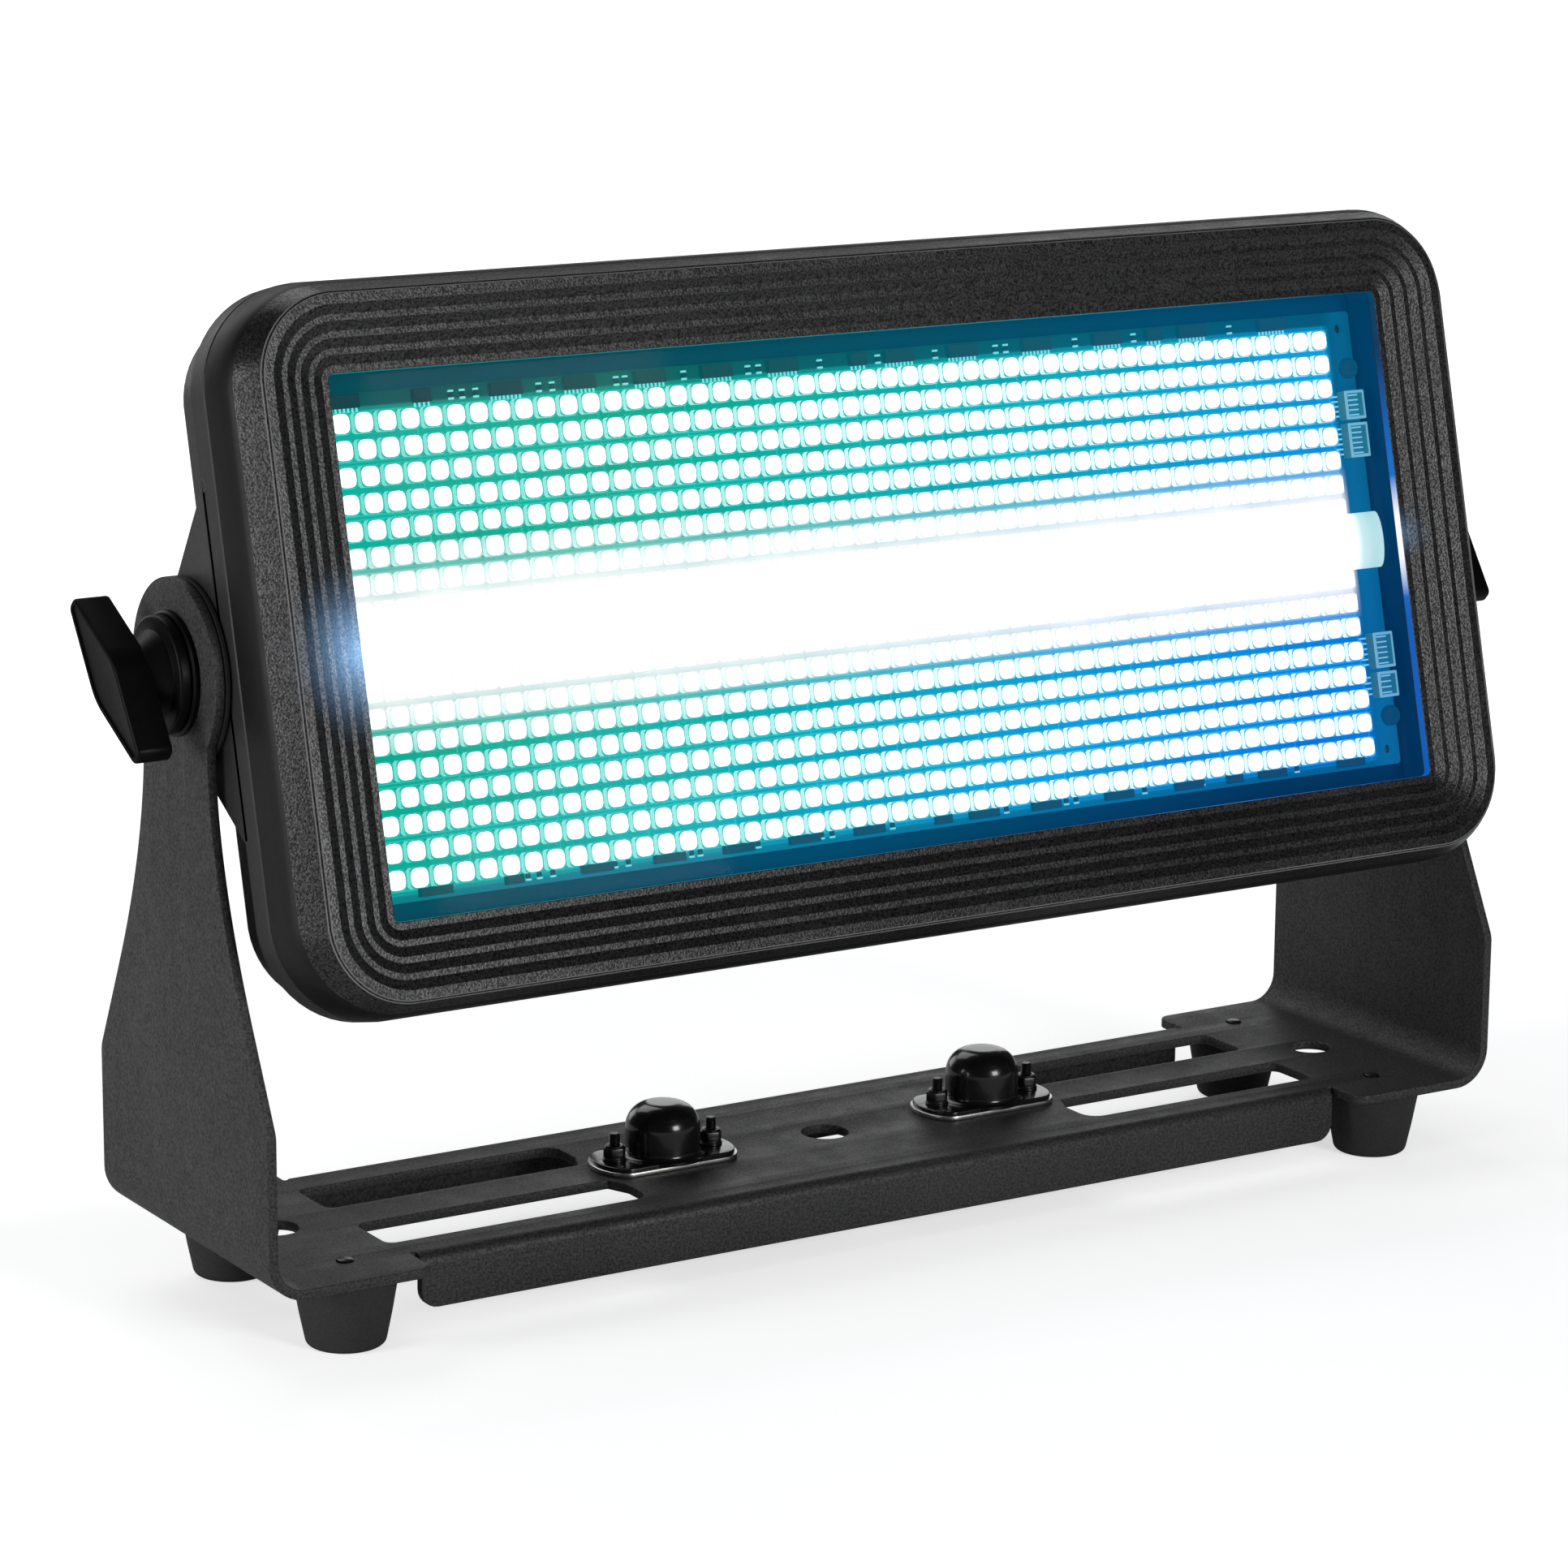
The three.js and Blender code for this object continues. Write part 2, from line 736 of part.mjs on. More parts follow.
function socketDome() {
  const low = baseTop + socketPlateThickness;
  const rimTop = low + socketRimThickness;
  const top = low + domeHeight;
  const arc = (radius, crown, height) => {
    const points = [];
    for (let step = 0; step <= cornerSteps; step += 1) {
      const angle = (step / cornerSteps) * (Math.PI / 2);
      points.push([radius - crown + crown * Math.cos(angle), height - crown + crown * Math.sin(angle)]);
    }
    return points;
  };
  const outer = [[0, low], [domeRadius, low], ...arc(domeRadius, domeCrownRadius, top), [0, top]];
  const inside = domeRadius - domeWall;
  const ceiling = top - domeWall;
  const hollow = [
    [0, low - overrun],
    [inside, low - overrun],
    ...arc(inside, domeCrownRadius - domeWall, ceiling),
    [0, ceiling],
  ];
  const holes = [turned(hollow, largeTurnSteps)];
  for (const { sign } of sides) {
    holes.push(disc(studRadius + seatGap, low - overrun, rimTop + overrun, tinyTurnSteps)
      .translate(sign * studSpacing, 0, 0));
  }
  return cut(join(turned(outer, largeTurnSteps), alongZ(ovalPlate(socketRimInset), low, rimTop)), ...holes);
}

function socketStud() {
  const seat = baseTop + socketPlateThickness + socketRimThickness;
  const nut = new THREE.CylinderGeometry(nutAcrossCorners / 2, nutAcrossCorners / 2, nutThickness, 6)
    .rotateX(Math.PI / 2)
    .translate(0, 0, seat + nutThickness / 2 + nutRise);
  const collar = disc(nutAcrossCorners / 2, seat, seat + nutRise + nutThickness / 2, tinyTurnSteps);
  return join(disc(studRadius, footHeight, baseTop + studHeight, tinyTurnSteps), nut, collar);
}

// Clamp knob: skirt, tapered neck and a long wing, all about the pivot axis
function wingOutline() {
  const end = wingEndWidth / 2;
  const half = wingLength / 2;
  const middle = wingMiddleWidth / 2;
  return polygon([[half, -end], [half, end], [0, middle], [-half, end], [-half, -end], [0, -middle]]);
}

function knob(sign) {
  const skirtFace = armOuter + washerThickness + seatGap;
  const neckFace = skirtFace + skirtThickness;
  const wingFace = neckFace + neckLength;
  const wingBack = wingFace - wingSink;
  const body = turned([
    [0, skirtFace],
    [skirtRadius, skirtFace],
    [skirtRadius, neckFace - skirtChamfer],
    [skirtRadius - skirtChamfer, neckFace],
    [neckBaseRadius, neckFace],
    [neckTipRadius, wingFace],
    [neckTipRadius, wingFace + wingDepth / 2],
    [0, wingFace + wingDepth / 2],
  ], largeTurnSteps);
  const wing = new THREE.ExtrudeGeometry(wingOutline(), {
    depth: wingDepth - 2 * wingBevel,
    bevelEnabled: true,
    bevelThickness: wingBevel,
    bevelSize: wingBevel,
    bevelOffset: -wingBevel,
    bevelSegments: 2,
  }).rotateZ(THREE.MathUtils.degToRad(-sign * wingAngleDegrees)).translate(0, 0, wingBack + wingBevel);
  const hole = disc(studBoltRadius + seatGap, skirtFace - overrun, neckFace, tinyTurnSteps);
  return cut(join(body, wing), hole).rotateY((sign * Math.PI) / 2);
}

function clampStud(sign) {
  const inner = headSide - studBoltReach;
  const outer = armOuter + washerThickness + seatGap + skirtThickness - seatGap;
  return disc(studBoltRadius, inner, outer, tinyTurnSteps).rotateY((sign * Math.PI) / 2);
}

// Ridged bezel: the window's edge climbs outward in even steps to the rim, then turns back to the seam
function bezelSection() {
  const windowHalfWidth = windowWidth / 2;
  const windowHalfHeight = windowHeight / 2;
  const at = (outward, level) => ({
    halfWidth: windowHalfWidth + outward,
    halfHeight: windowHalfHeight + outward,
    radius: windowCornerRadius + outward,
    level,
  });
  const sideAt = (setIn, level) => ({
    halfWidth: headSide - setIn,
    halfHeight: headSideHeight / 2 - setIn,
    radius: seamCornerRadius - setIn,
    level,
  });
  const section = [at(0, lipFrontAhead), at(innerFlat, lipFrontAhead)];
  let outward = innerFlat;
  let level = lipFrontAhead;
  for (let ridge = 0; ridge < ridgeCount; ridge += 1) {
    outward += ridgeWallRun;
    level += ridgeRise;
    section.push(at(outward, level));
    outward += ridge < ridgeCount - 1 ? ridgeFlat : rimFlat;
    section.push(at(outward, level));
  }
  section.push(at(outward + rimEdgeRadius, level - rimEdgeDrop));
  section.push(sideAt(creaseSetIn, creaseAhead));
  section.push(sideAt(creaseTurnSetIn, creaseAhead - creaseTurnDrop));
  section.push(sideAt(0, -seamBehind));
  section.push(sideAt(bezelWall, -seamBehind));
  section.push(sideAt(bezelWall + creaseSetIn, creaseAhead - bezelWall));
  section.push(at(outward - ridgeFlat, level - bezelWall));
  section.push(at(outward - rimFlat - ridgeWallRun, level - bezelWall));
  section.push(at(lipShelf, lipBackAhead));
  section.push(at(0, lipBackAhead));
  return section;
}

// Rear shell: a band behind the seam, a step in to the body, a rounded back edge and a large opening
function rearShell() {
  const front = -seamBehind - seatGap;
  const edgeIn = shellEdgeRadius * edgeMiddleShare;
  const at = (setIn, radius, level) => ({
    halfWidth: headSide - setIn,
    halfHeight: headSideHeight / 2 - setIn,
    radius,
    level,
  });
  const opening = (radius, level) => ({
    halfWidth: coverHalfWidth - coverWall - seatGap,
    halfHeight: coverHalfHeight - coverWall - seatGap,
    radius,
    level,
  });
  const shell = framed([
    at(0, seamCornerRadius, front),
    at(0, seamCornerRadius, -bandBack + bandEdgeSize),
    at(bandEdgeSize, seamCornerRadius - bandEdgeSize, -bandBack),
    at(bodySetIn, bodyCornerRadius, -bandBack - bandEdgeSize),
    at(bodySetIn, bodyCornerRadius, -shellBack + shellEdgeRadius),
    at(bodySetIn + edgeIn, bodyCornerRadius, -shellBack + edgeIn),
    at(bodySetIn + shellEdgeRadius, bodyCornerRadius - shellEdgeRadius, -shellBack),
    opening(coverCornerRadius - coverWall, -shellBack),
    opening(coverCornerRadius - coverWall, -shellBack + shellWall),
    at(bodySetIn + shellWall, bodyCornerRadius - shellWall, -shellBack + shellWall),
    at(bodySetIn + shellWall, bodyCornerRadius - shellWall, -bandBack),
    at(shellWall, seamCornerRadius - shellWall, -bandBack + shellWall),
    at(shellWall, seamCornerRadius - shellWall, front),
  ]);
  const pieces = [];
  const bores = [];
  for (const { sign } of sides) {
    const inner = sign * (headSide - bossLength);
    const outer = sign * headSide;
    pieces.push(alongX(bossOutline(), Math.min(inner, outer), Math.max(inner, outer), armDivisions));
    const deep = sign * (headSide - insertLength - seatGap);
    const past = sign * (headSide + overrun);
    bores.push(alongX(
      circle(bossBoreRadius, 0, -pivotBehindLeds),
      Math.min(deep, past),
      Math.max(deep, past),
      smallTurnSteps / 2,
    ));
    for (const end of ends) {
      pieces.push(disc(postRadius, -shellBack + shellWall / 2, sinkBack - seatGap, tinyTurnSteps)
        .translate(sign * postX, end.sign * postY, 0));
    }
  }
  return cut(join(shell, ...pieces), ...bores);
}

// A side boss seen from the side: sloped above and below, round about the pivot at the back
function bossOutline() {
  const rise = bossTopHalf;
  const startLevel = -bandBack;
  const turnAngle = THREE.MathUtils.degToRad(bossTurnDegrees);
  const shape = new THREE.Shape();
  shape.moveTo(rise, startLevel);
  shape.absarc(0, -pivotBehindLeds, bossRoundRadius, -turnAngle, -Math.PI + turnAngle, true);
  shape.lineTo(-rise, startLevel);
  shape.lineTo(-rise, startLevel + shellEdgeRadius);
  shape.lineTo(rise, startLevel + shellEdgeRadius);
  shape.closePath();
  return shape;
}

function insert(sign) {
  const outer = headSide - seatGap;
  return tube(insertBoreRadius, bossBoreRadius - seatGap, outer - insertLength + seatGap, outer)
    .rotateY((sign * Math.PI) / 2)
    .translate(0, 0, -pivotBehindLeds);
}

function heatSink() {
  const plate = alongZ(roundedRect(sinkHalfWidth, sinkHalfHeight, sinkCornerRadius), sinkBack, sinkFront);
  const fins = [];
  for (let fin = 0; fin < finCount; fin += 1) {
    const x = (fin - (finCount - 1) / 2) * finPitch;
    const outline = box(finThickness / 2, finHalfLength, x);
    fins.push(alongZ(outline, sinkBack - finHeight, sinkBack + sinkPlateThickness / 2));
  }
  return join(plate, ...fins);
}

// One bank of LEDs: a thin strip with a ridge for each row
function ledBank(middle) {
  const half = (ledRowsPerBank * ledPitchY) / 2;
  const points = [
    [middle - half, ledCarrierBack],
    [middle + half, ledCarrierBack],
    [middle + half, -ledHeight],
  ];
  for (let row = ledRowsPerBank - 1; row >= 0; row -= 1) {
    const y = middle + (row - (ledRowsPerBank - 1) / 2) * ledPitchY;
    const top = y + ledSize / 2;
    const bottom = y - ledSize / 2;
    points.push([top, -ledHeight], [top, 0], [bottom, 0], [bottom, -ledHeight]);
  }
  points.push([middle - half, -ledHeight]);
  const halfLength = (ledColumns * ledPitchX) / 2;
  return alongX(polygon(points), gridShiftX - halfLength, gridShiftX + halfLength);
}

function barLens() {
  const shape = new THREE.Shape();
  shape.moveTo(lensHalfHeight + barShiftY, seatGap);
  shape.lineTo(lensHalfHeight + barShiftY, seatGap + lensEdgeHeight);
  shape.bezierCurveTo(
    lensHalfHeight + barShiftY, seatGap + lensHeight,
    lensHalfHeight / 2 + barShiftY, seatGap + lensHeight,
    barShiftY, seatGap + lensHeight,
  );
  shape.bezierCurveTo(
    barShiftY - lensHalfHeight / 2, seatGap + lensHeight,
    barShiftY - lensHalfHeight, seatGap + lensHeight,
    barShiftY - lensHalfHeight, seatGap + lensEdgeHeight,
  );
  shape.lineTo(barShiftY - lensHalfHeight, seatGap);
  shape.closePath();
  return alongX(shape, -lensHalfLength, lensHalfLength, 2 * cornerDivisions);
}

function connector({ middle, length }) {
  const right = boardWidth / 2 - connectorEdgeInset;
  const x = right - connectorDepth / 2;
  const low = boardFront + seatGap;
  const body = alongZ(box(connectorDepth / 2, length / 2, x, middle), low, low + connectorHeight);
  const mouth = alongZ(
    box(connectorDepth / 2 - connectorWall, length / 2 - connectorWall, x, middle),
    low + connectorWall,
    low + connectorHeight + overrun,
  );
  return cut(body, mouth);
}

// Rear cover: a tray closed at the back, cut for the fan, the control panel and the sockets
function rearCover() {
  const front = -shellBack - seatGap;
  const at = (inset, radius, level) => ({
    halfWidth: coverHalfWidth - inset,
    halfHeight: coverHalfHeight - inset,
    radius,
    level,
  });
  const edge = coverEdgeRadius;
  const edgeIn = edge * edgeMiddleShare;
  const walls = framed([
    at(0, coverCornerRadius, front),
    at(0, coverCornerRadius, -coverBack + edge),
    at(edgeIn, coverCornerRadius - edgeIn, -coverBack + edgeIn),
    at(edge, coverCornerRadius - edge, -coverBack),
    at(edge + coverWall, coverCornerRadius - edge - coverWall, -coverBack),
    at(edge + coverWall, coverCornerRadius - edge - coverWall, wallInside),
    at(coverWall, coverCornerRadius - coverWall, wallInside),
    at(coverWall, coverCornerRadius - coverWall, front),
  ]);
  const fill = edge + coverWall / 2;
  const back = alongZ(
    roundedRect(coverHalfWidth - fill, coverHalfHeight - fill, coverCornerRadius - fill),
    -coverBack,
    wallInside,
  );
  const through = (shape, steps) => alongZ(shape, -coverBack - overrun, wallInside + overrun, steps);
  const cuts = [];
  const slotPitch = grilleBarWidth + grilleSlotWidth;
  const slotsEachWay = Math.floor((fanBladeRadius - grilleSlotWidth / 2) / slotPitch);
  for (let slot = -slotsEachWay; slot <= slotsEachWay; slot += 1) {
    const rise = slot * slotPitch;
    const far = Math.abs(rise) + grilleSlotWidth / 2;
    const halfLength = Math.sqrt(fanBladeRadius ** 2 - far ** 2);
    for (const { sign } of sides) {
      const inner = grilleBarWidth / 2;
      const middle = fanX + (sign * (halfLength + inner)) / 2;
      cuts.push(through(box((halfLength - inner) / 2, grilleSlotWidth / 2, middle, fanY + rise)));
    }
  }
  cuts.push(through(box(panelWidth / 2 - panelBorder, panelHeight / 2 - panelBorder, panelX, panelY)));
  for (const x of [powerInX, powerOutX, dataInX, dataOutX]) {
    cuts.push(through(circle(barrelRadius + seatGap, x, socketRowY), smallTurnSteps / 2));
  }
  cuts.push(through(circle(fuseBodyRadius + seatGap, fuseX, socketRowY), smallTurnSteps / 2));
  const ventMiddle = (front - coverBack) / 2;
  for (let vent = 0; vent < ventCount; vent += 1) {
    const x = (vent - (ventCount - 1) / 2) * ventPitch;
    const slot = box(ventWidth / 2, ventLength / 2, x, ventMiddle);
    cuts.push(alongY(slot, -coverHalfHeight - overrun, coverHalfHeight + overrun));
  }
  return cut(join(walls, back), ...cuts);
}

function fanFrame() {
  const back = wallInside + seatGap;
  const front = back + fanDepth;
  const half = fanSize / 2;
  const frame = cut(
    alongZ(roundedRect(half, half, fanCornerRadius), back, front),
    disc(fanBoreRadius, back - overrun, front + overrun, largeTurnSteps),
  );
  const mount = disc(fanHubRadius, back, back + fanMountThickness);
  const struts = [];
  const reach = fanBoreRadius / 2;
  for (let strut = 0; strut < fanStrutCount; strut += 1) {
    const angle = ((strut + 0.5) * 2 * Math.PI) / fanStrutCount;
    const bar = alongZ(box(reach, fanStrutWidth / 2, reach), back, back + fanMountThickness);
    struts.push(bar.rotateZ(angle));
  }
  return join(frame, mount, ...struts).translate(fanX, fanY, 0);
}

function fanRotor() {
  const low = wallInside + seatGap + fanMountThickness + runningGap;
  const hub = disc(fanHubRadius, low, low + fanHubDepth);
  const blades = [];
  const bladeLength = fanBladeRadius - fanHubRadius;
  for (let blade = 0; blade < fanBladeCount; blade += 1) {
    blades.push(new THREE.BoxGeometry(bladeLength + 2 * fanBladeRoot, fanBladeChord, fanBladeThickness)
      .rotateX(THREE.MathUtils.degToRad(fanBladePitchDegrees))
      .translate(fanHubRadius + bladeLength / 2, 0, low + fanHubDepth / 2)
      .rotateZ((blade * 2 * Math.PI) / fanBladeCount));
  }
  return common(join(hub, ...blades), disc(fanBladeRadius, low, low + fanHubDepth, largeTurnSteps))
    .translate(fanX, fanY, 0);
}

function powerSupply() {
  const back = wallInside + seatGap;
  const front = back + supplyDepth;
  const half = supplyHeight / 2;
  const left = supplyX - supplyWidth / 2;
  const right = supplyX + supplyWidth / 2;
  const tray = alongZ(box(supplyWidth / 2, half, supplyX, supplyY), back, front);
  const step = alongZ(
    box(supplyTerminalLength / 2, half + overrun, left + supplyTerminalLength / 2, supplyY),
    back + supplyTerminalDepth,
    front + overrun,
  );
  const grooves = [-1, 1].map((side) => alongX(
    box(supplySheet, supplySheet, supplyY + side * half, front - 2 * supplySheet),
    left - overrun,
    right + overrun,
  ));
  return cut(tray, step, ...grooves);
}

function controlPanel() {
  const edge = roundedRect(panelWidth / 2, panelHeight / 2, panelCornerRadius, panelX, panelY);
  const plate = alongZ(edge, panelBack, panelFront);
  const through = (shape, steps) => alongZ(shape, panelBack - overrun, panelFront + overrun, steps);
  const viewHalfWidth = displayWidth / 2 - displayBezel;
  const viewHalfHeight = displayHeight / 2 - displayBezel;
  const cuts = [through(box(viewHalfWidth, viewHalfHeight, panelX, displayY))];
  for (const { x, y } of buttonPlaces()) {
    cuts.push(through(circle(buttonRadius + runningGap, x, y), smallTurnSteps / 2));
  }
  return cut(plate, ...cuts);
}

function buttonPlaces() {
  const places = [];
  for (let i = 0; i < buttonCount; i += 1) {
    places.push({ x: panelX + (i - (buttonCount - 1) / 2) * buttonPitch, y: buttonRowY });
  }
  return places;
}

const displayBack = panelFront + seatGap;
const displayFront = displayBack + displayDepth;
const controlBoardBack = displayFront + seatGap;

function pushButton({ x, y }) {
  const outer = panelBack - buttonProud;
  const inner = controlBoardBack - buttonTravel - seatGap;
  return turned([
    [0, outer],
    [buttonRadius - buttonEdgeRadius, outer],
    [buttonRadius, outer + buttonEdgeRadius],
    [buttonRadius, inner],
    [0, inner],
  ], smallTurnSteps).translate(x, y, 0);
}

// Chassis socket: a square flange outside the cover and a barrel through it, with the plug's well
function chassisSocket(x, hasInsert) {
  const flangeFront = -coverBack - seatGap;
  const flangeBack = flangeFront - chassisThickness;
  const barrelFront = flangeFront + barrelLength;
  const body = join(
    alongZ(roundedRect(chassisWidth / 2, chassisHeight / 2, chassisCornerRadius), flangeBack, flangeFront),
    disc(barrelRadius, flangeFront - chassisThickness / 2, barrelFront),
  );
  const well = disc(wellRadius, flangeBack - overrun, flangeBack + wellDepth);
  const hollow = cut(body, well);
  const plug = disc(plugInsertRadius, flangeBack + chassisThickness / 2, flangeBack + wellDepth + overrun);
  return (hasInsert ? join(hollow, plug) : hollow).translate(x, socketRowY, 0);
}

function fuseHolder() {
  const seat = -coverBack - seatGap;
  const cap = turned([
    [0, seat - fuseFlangeThickness - fuseCapHeight],
    [fuseCapRadius - fuseSlotDepth, seat - fuseFlangeThickness - fuseCapHeight],
    [fuseCapRadius, seat - fuseFlangeThickness - fuseCapHeight + fuseSlotDepth],
    [fuseCapRadius, seat - fuseFlangeThickness],
    [fuseFlangeRadius, seat - fuseFlangeThickness],
    [fuseFlangeRadius, seat],
    [fuseBodyRadius, seat],
    [fuseBodyRadius, seat + fuseBodyLength],
    [0, seat + fuseBodyLength],
  ]);
  const low = seat - fuseFlangeThickness - fuseCapHeight;
  const slot = alongZ(box(fuseCapRadius, fuseSlotWidth / 2), low - overrun, low + fuseSlotDepth);
  return cut(cap, slot).translate(fuseX, socketRowY, 0);
}

// Safety eye: a bent wire loop on two pads, for the safety cable
function safetyEye() {
  const seat = -coverBack - seatGap;
  const padFace = seat - eyePadThickness;
  const tip = padFace - eyeReach + eyeHalfSpan;
  const points = [new THREE.Vector3(0, -eyeHalfSpan, seat - eyePadThickness / 2)];
  const turnSteps = 2 * cornerSteps;
  for (let step = 0; step <= turnSteps; step += 1) {
    const angle = Math.PI + (step / turnSteps) * Math.PI;
    points.push(new THREE.Vector3(0, eyeHalfSpan * Math.cos(angle), tip + eyeHalfSpan * Math.sin(angle)));
  }
  points.push(new THREE.Vector3(0, eyeHalfSpan, seat - eyePadThickness / 2));
  const route = new THREE.CatmullRomCurve3(points, false, 'centripetal');
  const wire = new THREE.ExtrudeGeometry(circle(eyeWireRadius), {
    steps: eyeSteps,
    extrudePath: route,
    curveSegments: 2 * cornerDivisions,
    bevelEnabled: false,
  });
  const pads = ends.map(({ sign }) => disc(eyePadRadius, padFace, seat).translate(0, sign * eyeHalfSpan, 0));
  return join(wire, ...pads).translate(0, eyeY, 0);
}

// The lamp
const lamp = new THREE.Group();
const yoke = new THREE.Group();
lamp.add(yoke);

add(yoke, 'yoke_bracket', yokeBracket(), finishes.powderCoat);
for (const side of sides) {
  for (const end of ends) {
    const place = [side.sign * footX, end.sign * footY, 0];
    add(yoke, `foot_${end.name}_${side.name}`, foot().translate(...place), finishes.rubber);
    add(yoke, `foot_screw_${end.name}_${side.name}`, footScrew().translate(...place), finishes.steel);
  }
  const x = side.sign * socketX;
  add(yoke, `clamp_socket_plate_${side.name}`, socketPlate().translate(x, 0, 0), finishes.zinc);
  add(yoke, `clamp_socket_dome_${side.name}`, socketDome().translate(x, 0, 0), finishes.gloss);
  for (const stud of sides) {
    const name = `clamp_socket_stud_${side.name}_${stud.sign < 0 ? 'a' : 'b'}`;
    add(yoke, name, socketStud().translate(x + stud.sign * studSpacing, 0, 0), finishes.steel);
  }
  const spacerInner = headSide + seatGap;
  const spacerOuter = armInner - seatGap;
  const washerOuter = armOuter + washerThickness;
  const turn = (side.sign * Math.PI) / 2;
  const spacer = tube(pivotHoleRadius, pivotDiscRadius, spacerInner, spacerOuter, largeTurnSteps);
  const washer = tube(pivotHoleRadius, washerRadius, armOuter, washerOuter, largeTurnSteps);
  for (const ring of [spacer, washer]) {
    ring.rotateY(turn).translate(0, 0, pivotHeight);
  }
  add(yoke, `friction_spacer_${side.name}`, spacer, finishes.rubber);
  add(yoke, `knob_washer_${side.name}`, washer, finishes.plastic);
  add(yoke, `clamp_knob_${side.name}`, knob(side.sign).translate(0, 0, pivotHeight), finishes.plastic);
  add(yoke, `clamp_stud_${side.name}`, clampStud(side.sign).translate(0, 0, pivotHeight), finishes.steel);
}

// The head's pieces are drawn as seen from the front: X right, Y up the face, Z out of it, LED faces at 0
const head = new THREE.Group();
head.position.set(0, 0, pivotHeight);
head.rotation.x = -THREE.MathUtils.degToRad(tiltDegrees);
yoke.add(head);
const face = new THREE.Group();
face.position.set(0, -pivotBehindLeds, 0);
face.rotation.x = Math.PI / 2;
head.add(face);

add(face, 'front_bezel', framed(bezelSection()), finishes.plastic);
const gasketAt = (outward, level) => ({
  halfWidth: windowWidth / 2 + outward,
  halfHeight: windowHeight / 2 + outward,
  radius: windowCornerRadius + outward,
  level,
});
add(face, 'window_gasket', framed([
  gasketAt(gasketInset, gasketFront),
  gasketAt(glassOverlap - gasketInset, gasketFront),
  gasketAt(glassOverlap - gasketInset, gasketFront - gasketThickness),
  gasketAt(gasketInset, gasketFront - gasketThickness),
]), finishes.rubber);
add(face, 'window_glass', alongZ(
  roundedRect(windowWidth / 2 + glassOverlap, windowHeight / 2 + glassOverlap, glassCornerRadius),
  glassFront - glassThickness,
  glassFront,
), finishes.glass);
add(face, 'led_board', alongZ(
  roundedRect(boardWidth / 2, boardHeight / 2, boardCornerRadius),
  boardFront - boardThickness,
  boardFront,
), finishes.board);
add(face, 'led_bank_upper', ledBank(gridShiftY + bankShift), finishes.led);
add(face, 'led_bank_lower', ledBank(gridShiftY - bankShift), finishes.led);
add(face, 'white_led_bar', alongX(
  box(barHalfHeight, barThickness / 2, barShiftY, boardFront + seatGap + barThickness / 2),
  -lensHalfLength,
  lensHalfLength,
), finishes.led);
add(face, 'bar_lens', barLens(), finishes.lens);
connectorRows.forEach((row, i) => add(face, `board_connector_${i + 1}`, connector(row), finishes.connector));
add(face, 'heat_sink', heatSink(), finishes.aluminium);
add(face, 'rear_shell', rearShell(), finishes.plastic);
for (const side of sides) {
  add(face, `pivot_insert_${side.name}`, insert(side.sign), finishes.brass);
}
add(face, 'rear_cover', rearCover(), finishes.powderCoat);
add(face, 'fan_frame', fanFrame(), finishes.plastic);
add(face, 'fan_rotor', fanRotor(), finishes.plastic);
add(face, 'power_supply', powerSupply(), finishes.aluminium);
add(face, 'control_panel', controlPanel(), finishes.gloss);
add(face, 'display', alongZ(
  box(displayWidth / 2, displayHeight / 2, panelX, displayY),
  displayBack,
  displayFront,
), finishes.display);
add(face, 'control_board', alongZ(
  box(panelWidth / 2 - panelBorder, panelHeight / 2 - panelBorder, panelX, panelY),
  controlBoardBack,
  controlBoardBack + controlBoardThickness,
), finishes.circuit);
buttonPlaces().forEach((place, i) => add(face, `menu_button_${i + 1}`, pushButton(place), finishes.rubber));
add(face, 'power_inlet', chassisSocket(powerInX, false), finishes.inlet);
add(face, 'power_outlet', chassisSocket(powerOutX, false), finishes.outlet);
add(face, 'data_inlet', chassisSocket(dataInX, false), finishes.steel);
add(face, 'data_outlet', chassisSocket(dataOutX, true), finishes.steel);
add(face, 'fuse_holder', fuseHolder(), finishes.plastic);
add(face, 'safety_eye', safetyEye(), finishes.steel);

// Stand the origin under the middle of the lamp's box
const outline = new THREE.Box3().setFromObject(lamp, true);
yoke.position.y = -(outline.min.y + outline.max.y) / 2;

export default lamp;
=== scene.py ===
import bpy
import bmesh
from math import acos, atan2, cos, pi, radians, sin, sqrt, tan
from mathutils import Matrix, Vector


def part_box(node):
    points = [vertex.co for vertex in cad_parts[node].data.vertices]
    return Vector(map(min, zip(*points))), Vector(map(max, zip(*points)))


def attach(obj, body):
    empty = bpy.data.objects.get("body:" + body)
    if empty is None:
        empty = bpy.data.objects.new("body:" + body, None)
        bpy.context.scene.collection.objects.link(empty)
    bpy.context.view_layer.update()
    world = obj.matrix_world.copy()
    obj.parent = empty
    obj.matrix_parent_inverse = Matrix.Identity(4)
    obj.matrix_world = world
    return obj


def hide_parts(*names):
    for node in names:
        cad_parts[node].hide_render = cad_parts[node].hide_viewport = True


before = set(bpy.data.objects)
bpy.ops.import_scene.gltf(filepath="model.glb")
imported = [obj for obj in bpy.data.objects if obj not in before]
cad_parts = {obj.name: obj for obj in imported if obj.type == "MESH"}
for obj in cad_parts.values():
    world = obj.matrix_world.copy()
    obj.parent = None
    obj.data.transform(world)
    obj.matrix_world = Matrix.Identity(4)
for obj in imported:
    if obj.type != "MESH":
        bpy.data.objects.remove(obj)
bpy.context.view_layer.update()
scene = bpy.context.scene

